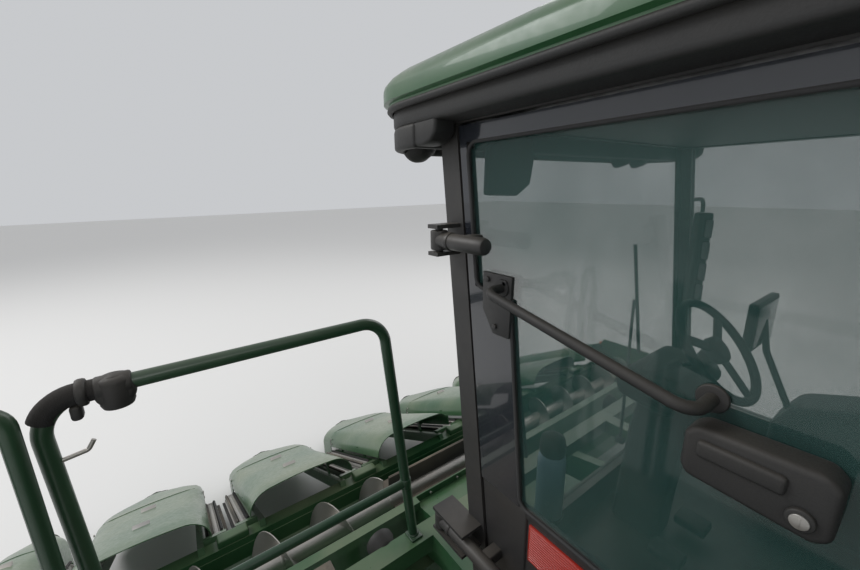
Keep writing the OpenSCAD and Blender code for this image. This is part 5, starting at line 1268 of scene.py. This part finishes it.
for z in (3.74, 4.18):
    greens.append(block((-b_half, b_back, z - 0.015), (b_half, b_back + 0.050, z + 0.020), 0.008))
close_piece(joined(net), "basket_screens", screen_green, "basket")
close_piece(joined(ribs), "basket_back_ribs", pale_rib, "basket")
close_piece(joined(greens), "basket_frames", dusty_green, "basket")
close_piece(joined(dusty), "basket_sheets", straw_dust, "basket")

# %% The hood's screens, its ribs and the gate
hood_rise, hood_lean, hood_back_lean = 0.88, 0.35, 0.26

def on_slope(side, z0, z1, out0, out1):
    """a strip on the hood's sloping side, in (x, z); out is the height over the sheet"""
    n = Vector((hood_rise, hood_lean)).normalized()
    return [(side * (b_half - hood_lean / hood_rise * (z - b_top) + n.x * o), z + n.y * o)
            for z, o in ((z0, out0), (z1, out0), (z1, out1), (z0, out1))]

def on_back(z0, z1, out0, out1):
    n = Vector((hood_rise, hood_back_lean)).normalized()
    return [(b_back - hood_back_lean / hood_rise * (z - b_top) + n.x * o, z + n.y * o)
            for z, o in ((z0, out0), (z1, out0), (z1, out1), (z0, out1))]

tan, dark = [], []
for y0, y1 in ((2.50, 3.20), (3.28, 3.98), (4.06, 4.70)):
    dark.append(drawn_out(on_slope(-1, 4.34, 5.06, -0.002, 0.005), 1, y0, y1, 0))
    for y in (y0, y1):
        tan.append(drawn_out(on_slope(-1, 4.28, 5.10, 0.0, 0.020), 1, y - 0.025, y + 0.025, 0.004))
for z in (4.30, 5.07):
    tan.append(drawn_out(on_slope(-1, z, z + 0.035, 0.0, 0.020), 1, 2.42, 4.74, 0.004))
for x in (-1.42, -0.95, -0.32, 0.32, 0.95, 1.42):
    tan.append(drawn_out(on_back(4.29, 5.09, -0.002, 0.020), 0, x - 0.02, x + 0.02, 0.005))
for y in (2.45, 3.0, 3.6, 4.2, 4.74):
    tan.append(block((-1.46, y - 0.02, 5.126), (1.46, y + 0.02, 5.142), 0.005))
tan.append(block((-1.38, 2.318, 4.30), (1.38, 2.330, 4.36), 0.004))
corner = drawn_out([(1.42, 4.76), (1.625, 4.76), (1.490, 5.108), (1.42, 5.108)], 1, 2.328, 2.338, 0)
for vertex in corner.data.vertices:
    vertex.co.y += 0.0682 * (vertex.co.z - b_top)
tan.append(corner)
close_piece(joined(tan), "hood_ribs", dusty_tan, "basket")
close_piece(joined(dark), "hood_screens", screen_dark, "basket")
gate_frame, gate_net = [], []
for y0, y1 in ((2.44, 3.13), (3.21, 3.90), (3.98, 4.66)):
    gate_net.append(drawn_out(on_slope(1, 4.38, 5.00, 0.038, 0.044), 1, y0, y1, 0))
for y in (2.40, 3.17, 3.94, 4.70):
    gate_frame.append(drawn_out(on_slope(1, 4.32, 5.06, 0.036, 0.054), 1, y - 0.02, y + 0.02, 0.004))
for z in (4.315, 4.66, 5.02):
    gate_frame.append(drawn_out(on_slope(1, z, z + 0.04, 0.036, 0.056), 1, 2.385, 4.72, 0.004))
close_piece(joined(gate_frame), "gate_ribs", dusty_tan, "gate")
close_piece(joined(gate_net), "gate_screens", screen_dark, "gate")

# %% The basket's rear lamps
lamp_profile = [(0, -0.030), (0.040, -0.030), (0.055, -0.010), (0.058, 0.022), (0.052, 0.028), (0.050, 0.020),
                (0, 0.026)]
cream_lamps, lamp_feet = [], []
for x, z in ((-1.25, 3.10), (1.50, 3.60), (-1.50, 3.60)):
    cream_lamps.append(set_at(spun(lamp_profile), (x, b_back + 0.040, z), (-90, 0, 0)))
    lamp_feet.append(block((x - 0.05, b_back, z - 0.08), (x + 0.05, b_back + 0.014, z + 0.02), 0.004))
close_piece(joined(cream_lamps), "basket_lamps", lamp_cream, "basket", angle=40)
close_piece(joined(lamp_feet), "basket_lamp_feet", dark_paint, "basket")
print("basket screens, ribs, hood, gate and lamps are set")

# %% [markdown]
# The tall cleaner, the duct and the engine's cover are folded sheet. Sheet that size is kept flat by upright ribs and
# by flanges at its joints, and its doors are thin pans with hinges and latches. All of them are low blocks with
# rounded edges on the CAD's walls, so they are laid out from lists of places.

# %% A pan door with hinges and latches on a wall
panel_green = finish_of("panel_green", (0.018, 0.096, 0.033), roughness=0.36, dust=0.28, coat=0.15, bump=0.04)

def pan_door(axis, face, out, low, high, parts, fittings, latches=2):
    """face is where the wall is on the axis, out its direction; low and high are the two other coordinates"""
    other = [i for i in range(3) if i != axis]
    def slab(a, b, near, far, bevel, into, segments=2):
        lo, hi = [0, 0, 0], [0, 0, 0]
        lo[axis], hi[axis] = sorted((face + out * near, face + out * far))
        for i, k in enumerate(other):
            lo[k], hi[k] = a[i], b[i]
        into.append(block(lo, hi, bevel, segments))
    slab(low, high, -0.002, 0.012, 0.005, parts, 3)
    inset = 0.05
    slab([v + inset for v in low], [v - inset for v in high], 0.011, 0.017, 0.003, parts)
    rise = high[1] - low[1]
    for share in (0.2, 0.8):
        z = low[1] + rise * share
        slab((low[0] - 0.012, z - 0.035), (low[0] + 0.02, z + 0.035), 0.0, 0.020, 0.006, fittings)
    for i in range(latches):
        z = low[1] + rise * (i + 1) / (latches + 1)
        slab((high[0] - 0.055, z - 0.018), (high[0] + 0.012, z + 0.018), 0.012, 0.024, 0.005, fittings)
        slab((high[0] - 0.045, z - 0.007), (high[0] - 0.005, z + 0.007), 0.022, 0.034, 0.003, fittings)

# %% The cleaner's ribs, doors and flanges
def side_block(side, near, far, y, z, bevel):
    """a block between two distances from the middle plane, on the side that side's sign says"""
    x0, x1 = sorted((side * near, side * far))
    return block((x0, y[0], z[0]), (x1, y[1], z[1]), bevel)

sheets, fittings = [], []
c_half, c_front, c_back, c_low, c_top = 1.20, 1.10, 1.94, 2.00, 4.20
narrow_doors, tall_door, front_door_z = ((2.10, 2.70), (2.82, 3.42), (3.54, 4.00)), (2.10, 3.42), (3.17, 3.68)
for side in (-1, 1):
    for y in (c_front + 0.01, 1.50, c_back - 0.05):
        top = c_top - 0.13 if y > 1.8 else c_top - 0.02
        sheets.append(side_block(side, c_half, c_half + 0.035, (y, y + 0.045), (c_low + 0.02, top), 0.008))
    for z in (c_low + 0.02, 2.74, 3.46, c_top - 0.16):
        sheets.append(side_block(side, c_half, c_half + 0.022, (c_front + 0.02, c_back - 0.02),
                                 (z, z + 0.035), 0.006))
    for z0, z1 in narrow_doors:
        pan_door(0, side * c_half, side, (1.175, z0), (1.475, z1), sheets, fittings)
    pan_door(0, side * c_half, side, (1.565, tall_door[0]), (1.865, tall_door[1]), sheets, fittings, 3)
    front_rib_y = (c_front - 0.025, c_front + 0.002)
    for z in (2.45, 3.10, 3.72):
        low = min(side * 0.50, side * 1.18)
        sheets.append(block((low, front_rib_y[0], z), (low + 0.68, front_rib_y[1], z + 0.035), 0.006))
    sheets.append(side_block(side, 1.155, 1.195, front_rib_y, (c_low, c_top - 0.02), 0.006))
    x0, x1 = sorted((side * 0.58, side * 1.10))
    pan_door(1, c_front, -1, (x0, front_door_z[0]), (x1, front_door_z[1]), sheets, fittings)
for y in (1.24, 1.52, 1.76):
    sheets.append(block((-c_half + 0.01, y, c_top - 0.002), (c_half - 0.01, y + 0.035, c_top + 0.012), 0.005))
close_piece(joined(sheets), "cleaner_ribs_and_doors", panel_green, "chassis")
close_piece(joined(fittings), "cleaner_hinges_and_latches", worn_steel, "chassis")

# %% [markdown]
# The duct is made of lengths that are bolted together through rings of angle. A ring is a frame round the duct; the
# bolt heads on it are short six-sided drums, which is what makes it read as a joint.

# %% The duct's rings, the fan's rims and its guard
rings, heads = [], []
ring_half, wall_half, bolt_half = 0.515, 0.478, 0.498
for z in (1.62, 2.26, 2.90, 3.54):
    frame_bars = ((-ring_half, ring_half, 0.605, 0.645), (-ring_half, ring_half, 0.998, 1.032),
                  (-ring_half, -wall_half, 0.605, 1.032), (wall_half, ring_half, 0.605, 1.032))
    for x0, x1, y0, y1 in frame_bars:
        rings.append(block((x0, y0, z), (x1, y1, z + 0.022), 0.004))
    places = [(-0.42 + 0.14 * i, 0.622) for i in range(7)]
    places += [(side * bolt_half, y) for y in (0.70, 0.82, 0.94) for side in (-1, 1)]
    heads += [drum((x, y, z + 0.021), (x, y, z + 0.033), 0.009, 6, 0) for x, y in places]
low_half, duct_low, duct_top = 0.51, 0.935, 1.345
for y in (-0.75, 0.0):
    frame_bars = ((-low_half, low_half, duct_low, 0.972), (-low_half, low_half, 1.328, duct_top),
                  (-low_half, -wall_half, duct_low, duct_top), (wall_half, low_half, duct_low, duct_top))
    for x0, x1, z0, z1 in frame_bars:
        rings.append(block((x0, y, z0), (x1, y + 0.025, z1), 0.004))
close_piece(joined(rings), "duct_rings", panel_green, "chassis")
close_piece(joined(heads), "duct_bolts", worn_steel, "chassis")
fan, guard = [], []
fan_y, fan_z, guard_x, guard_r = 0.80, 2.12, -1.035, 0.135
rim_profile = [(0.278, 0), (0.292, 0.002), (0.292, 0.022), (0.278, 0.024), (0.278, 0)]
for x in (-1.045, -0.86, -0.665):
    fan.append(set_at(spun(rim_profile, 48), (x, fan_y, fan_z), (0, 90, 0)))
for r in (0.05, 0.09, 0.13):
    wire = [(r - 0.004, 0), (r, 0.004), (r + 0.004, 0), (r, -0.004), (r - 0.004, 0)]
    guard.append(set_at(spun(wire, 40), (guard_x, fan_y, fan_z), (0, 90, 0)))
for turn in range(0, 180, 45):
    reach_y, reach_z = guard_r * math.cos(math.radians(turn)), guard_r * math.sin(math.radians(turn))
    guard.append(pipe([(guard_x, fan_y + reach_y, fan_z + reach_z),
                       (guard_x, fan_y - reach_y, fan_z - reach_z)],
                      0.004, sides=2))
close_piece(joined(fan), "fan_rims", panel_green, "chassis", angle=40)
close_piece(joined(guard), "fan_guard", worn_steel, "chassis", angle=50)
print("cleaner, duct and fan dressed")

# %% [markdown]
# Beside the engine a cabinet draws air in through a flat screen of punched sheet. The cover over the engine has a
# panel with pressed louvres: each louvre is one long wedge, copied down the panel, so the slots between them
# catch shadow as pressed ones do.

# %% The engine's cover, the air screen and the locker
cover, catches, louvres = [], [], []
cover_low, cover_top, cabinet_x, cabinet_low = 1.40, 1.95, (-1.70, -1.04), 1.42
louvre_low, louvre_pitch = 1.475, 0.062
for x0, x1 in ((-0.95, -0.04), (0.04, 0.95)):
    cover.append(block((x0, c_back - 0.002, cover_low), (x1, c_back + 0.014, cover_top), 0.006))
for x0, x1 in ((-0.93, -0.04), (0.04, 0.93)):
    pan_door(1, c_front, -1, (x0, cover_low), (x1, cover_top), cover, catches)
    for i in range(7):
        z = louvre_low + i * louvre_pitch
        wedge = [(c_front - 0.010, z), (c_front - 0.034, z + 0.004), (c_front - 0.012, z + 0.038)]
        louvres.append(drawn_out(wedge, 0, x0 + 0.12, x1 - 0.12, 0.002))
screen_front, screen_back, bar_out, bar_in = 1.155, 1.865, -1.762, -1.738
for z in (1.420, 1.935):
    cover.append(block((bar_out, screen_front, z), (bar_in, screen_back, z + 0.028), 0.006))
for y in (screen_front, 1.840):
    cover.append(block((bar_out, y, 1.420), (bar_in, y + 0.028, 1.963), 0.006))
for y, out in ((1.12, -1), (1.90, 1)):
    pan_door(1, y, out, (cabinet_x[0], cabinet_low), (cabinet_x[1], cover_top), cover, catches)
l_x, l_y, l_z = (-2.05, -1.42), (4.73, 5.33), (1.40, 2.08)
pan_door(0, l_x[0], -1, (l_y[0] + 0.04, l_z[0] + 0.05), (l_y[1] - 0.04, l_z[1] - 0.06), cover, catches)
pan_door(1, l_y[1], 1, (l_x[0] + 0.05, l_z[0] + 0.14), (l_x[1] - 0.05, l_z[1] - 0.06), cover, catches, 1)
for z in (l_z[0], l_z[1] - 0.022):
    cover.append(block((l_x[0] - 0.010, l_y[0] - 0.004, z - 0.003),
                       (l_x[1] + 0.004, l_y[1] + 0.010, z + 0.026), 0.006))
close_piece(joined(cover), "covers_and_pans", panel_green, "chassis")
close_piece(joined(catches), "cover_catches", worn_steel, "chassis")
close_piece(joined(louvres), "cover_louvres", panel_green, "chassis")
close_piece(block((-1.716, 1.185, 1.435), (-1.706, 1.835, 1.945), 0), "air_screen", screen_dark, "chassis")

# %% The tank's straps, its cap, and the exhaust
straps, plain = [], []
for y in (1.28, 1.68):
    rim = [(1.055, 1.052), (1.663, 1.052), (1.748, 1.137), (1.748, 1.823), (1.663, 1.908), (0.985, 1.908),
           (0.985, 1.898), (1.66, 1.898), (1.738, 1.82), (1.738, 1.14), (1.66, 1.062), (1.055, 1.062)]
    straps.append(drawn_out(rim, 1, y, y + 0.045, 0))
straps.append(drum((1.50, 1.26, 1.945), (1.50, 1.26, 1.978), 0.064, 32, 0.008))
straps.append(block((1.44, 1.252, 1.976), (1.56, 1.268, 1.990), 0.005))
x, y = -1.48, 1.48
clamp = [(0.114, 0), (0.121, 0.003), (0.121, 0.037), (0.114, 0.040), (0.114, 0)]
cone = [(0.100, 0), (0.117, 0), (0.117, 0.018), (0.060, 0.055), (0.052, 0.055)]
collar = [(0.049, 0), (0.053, 0.004), (0.053, 0.026), (0.049, 0.030), (0.049, 0)]
hoop = [(0.121, 0), (0.129, 0.002), (0.129, 0.012), (0.121, 0.014), (0.121, 0)]
plain += [set_at(spun(clamp, 48), (x, y, z)) for z in (2.19, 2.85)]
plain += [set_at(spun(cone, 48), (x, y, 2.905)), set_at(spun(collar, 40), (x, y, 3.20))]
flap = drum((x, y, 3.945), (x, y, 3.952), 0.056, 32, 0.002)
plain += [flap, pipe([(x, y + 0.035, 3.948), (x, y + 0.075, 3.930), (x, y + 0.075, 3.86)], 0.007, bend=0.02,
                     sides=3)]
guard, guard_z = [], 2.25
for i in range(9):
    bar = block((-0.006, -0.130 - shift, 0), (0.006, -0.124 - shift, 0.56), 0)
    guard.append(set_at(bar, (x, y, guard_z), (0, 0, -80 + 20 * i)))
guard += [set_at(spun(hoop, 40), (x, y, z)) for z in (guard_z, 2.53, 2.80)]
close_piece(joined(straps), "tank_straps", worn_steel, "chassis")
close_piece(joined(plain + guard), "exhaust_fittings", dark_paint, "chassis", angle=40)
print("engine cover, tank, locker and exhaust dressed")

# %% [markdown]
# Steps on a field machine are grated so that a muddy boot doesn't slip. Each tread gets short raised teeth in rows,
# made as one row and copied; the rungs of the rear ladder get the same row.

# %% The two ladders
rungs = []
for y in (-1.43, -0.98):
    rungs.append(drawn_out([(1.95, 1.60), (1.95, 1.72), (2.01, 1.72), (2.40, 0.45), (2.28, 0.45)], 1, y,
                           y + 0.03, 0.006))
    mid = y + 0.015
    rungs.append(pipe([(2.235, mid, 0.95), (2.285, mid, 1.01), (2.085, mid, 2.50), (2.085, mid, 2.745),
                       (1.985, mid, 2.745), (1.985, mid, 1.70)],
                      0.020, bend=0.048, sides=6))
for i in range(5):
    rungs.append(block((2.265 - 0.070 * i, -1.401, 0.48 + 0.25 * i),
                       (2.420 - 0.082 * i, -0.979, 0.51 + 0.25 * i), 0.005))
for x in (0.84, 1.39):
    rungs.append(block((x, 5.42, 0.87), (x + 0.03, 5.47, 1.75), 0.008))
for i in range(4):
    rungs.append(block((0.869, 5.42, 0.90 + 0.26 * i), (1.391, 5.47, 0.93 + 0.26 * i), 0.006))
rungs.append(block((0.71, 5.389, 1.16), (1.42, 5.421, 1.26), 0.006))
ladders = close_piece(joined(rungs), "ladder_sides_and_rails", rail_green, "chassis", angle=50)
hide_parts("ladders")

# %% Grips on the treads and the rungs
teeth = []
def grip_row(x0, x1, y0, y1, top, step=0.026):
    count = int((y1 - y0) / step)
    for k in range(count):
        y = y0 + step * (k + 0.5)
        teeth.append(block((x0, y - 0.004, top - 0.001), (x1, y + 0.004, top + 0.007), 0.0015, 1))
for i in range(5):
    low, high = 2.265 - 0.070 * i, 2.420 - 0.082 * i
    for share in (0.14, 0.56):
        grip_row(low + (high - low) * share, low + (high - low) * (share + 0.30), -1.395, -0.985,
                 0.51 + 0.25 * i)
for i in range(4):
    for k in range(14):
        x = 0.90 + 0.0355 * k
        teeth.append(block((x - 0.004, 5.425, 0.929 + 0.26 * i), (x + 0.004, 5.465, 0.936 + 0.26 * i), 0.0015,
                           1))
close_piece(joined(teeth), "tread_grips", worn_steel, "chassis")

# %% [markdown]
# A cylinder's barrel ends in a gland nut, has a port boss at each end, and a steel line runs along it. The barrels
# lie on straight lines between two pins, so every fitting is placed by its distance along that line.

# %% Fittings of the lift and tipping cylinders
def along(foot, eye):
    foot, eye = Vector(foot), Vector(eye)
    way = (eye - foot).normalized()
    return lambda t, off=(0, 0, 0): tuple(foot + way * t + Vector(off))

lift_fittings, tip_fittings = [], []
for x in (-0.62, 0.62):
    at = along((x, -0.35, 0.62), (x, -1.90, 0.50))
    lift_fittings += [drum(at(1.135), at(1.182), 0.061, 6, 0.003),
                      drum(at(1.080), at(1.100), 0.058, 40, 0.003),
                      drum(at(0.082), at(0.110), 0.059, 40, 0.004)]
    for t in (0.17, 1.04):
        lift_fittings += [drum(at(t, (0, 0, 0.045)), at(t, (0, 0, 0.075)), 0.016, 6, 0.002)]
    lift_fittings.append(pipe([at(0.17, (0, 0, 0.07)), at(0.17, (0, 0, 0.092)), at(1.04, (0, 0, 0.092)),
                               at(1.04, (0, 0, 0.07))], 0.007, bend=0.03))
for y in (2.19, 5.23):
    at = along((1.25, y, 1.15), (0.75, y, 3.00))
    tip_fittings += [drum(at(1.680), at(1.732), 0.067, 6, 0.003), drum(at(1.60), at(1.625), 0.063, 40, 0.003),
                     drum(at(0.065), at(0.10), 0.064, 40, 0.004)]
    for t in (0.20, 1.54):
        tip_fittings.append(drum(at(t, (0.05, 0, 0.013)), at(t, (0.085, 0, 0.022)), 0.017, 6, 0.002))
    near, off = (0.08, 0, 0.02), (0.098, 0, 0.024)
    tip_fittings.append(pipe([at(0.20, near), at(0.20, off), at(1.54, off), at(1.54, near)], 0.008,
                             bend=0.03))
close_piece(joined(lift_fittings), "lift_cylinder_fittings", dark_paint, "lift_barrels",
            angle=40)
close_piece(joined(tip_fittings), "tip_cylinder_fittings", dark_paint, "tip_barrels", angle=40)

# %% Pin caps, axle bolts and the tail lamps
caps = []
for y, out in ((2.01, -1), (5.345, 1)):
    outer = y + out * 0.065
    caps.append(drum((1.905, outer - out * 0.004, 3.30), (1.905, outer + out * 0.012, 3.30), 0.046, 32,
                     0.004))
    caps.append(drum((1.905, outer + out * 0.011, 3.30), (1.905, outer + out * 0.024, 3.30), 0.014, 6, 0.001))
close_piece(joined(caps), "hinge_pin_caps", worn_steel, "basket", angle=40)
plates = []
for y in (2.01, 5.345):
    for x, z in ((0.80, 1.17), (0.86, 1.17), (0.80, 1.27), (0.86, 1.27)):
        plates.append(drum((x, y - 0.046, z), (x, y + 0.046, z), 0.013, 6, 0.001))
for side in (-1, 1):
    for x in (0.70, 0.80):
        for y in (-0.105, 0.105):
            plates.append(drum((side * x, y, 0.949), (side * x, y, 0.967), 0.016, 6, 0.001))
close_piece(joined(plates), "frame_bolts", worn_steel, "chassis", angle=40)
tail_body = spun([(0, 0), (0.046, 0), (0.050, 0.006), (0.050, 0.028), (0.046, 0.030)])
tail_face = spun([(0.046, 0.027), (0.046, 0.036), (0.030, 0.043), (0, 0.045)])
tail_shells, tail_glass = [], []
for place in ((0.775, 5.421, 1.21), (-1.55, 5.330, 1.478)):
    tail_shells.append(set_at(copy_of(tail_body), place, (-90, 0, 0)))
    tail_glass.append(set_at(copy_of(tail_face), place, (-90, 0, 0)))
for part in (tail_body, tail_face):
    bpy.data.objects.remove(part)
close_piece(joined(tail_shells), "tail_lamp_shells", dark_plastic, "chassis", angle=40)
close_piece(joined(tail_glass), "tail_lamp_faces", red_lens, "chassis", angle=40)
print("ladders, cylinders, pins and tail lamps dressed")
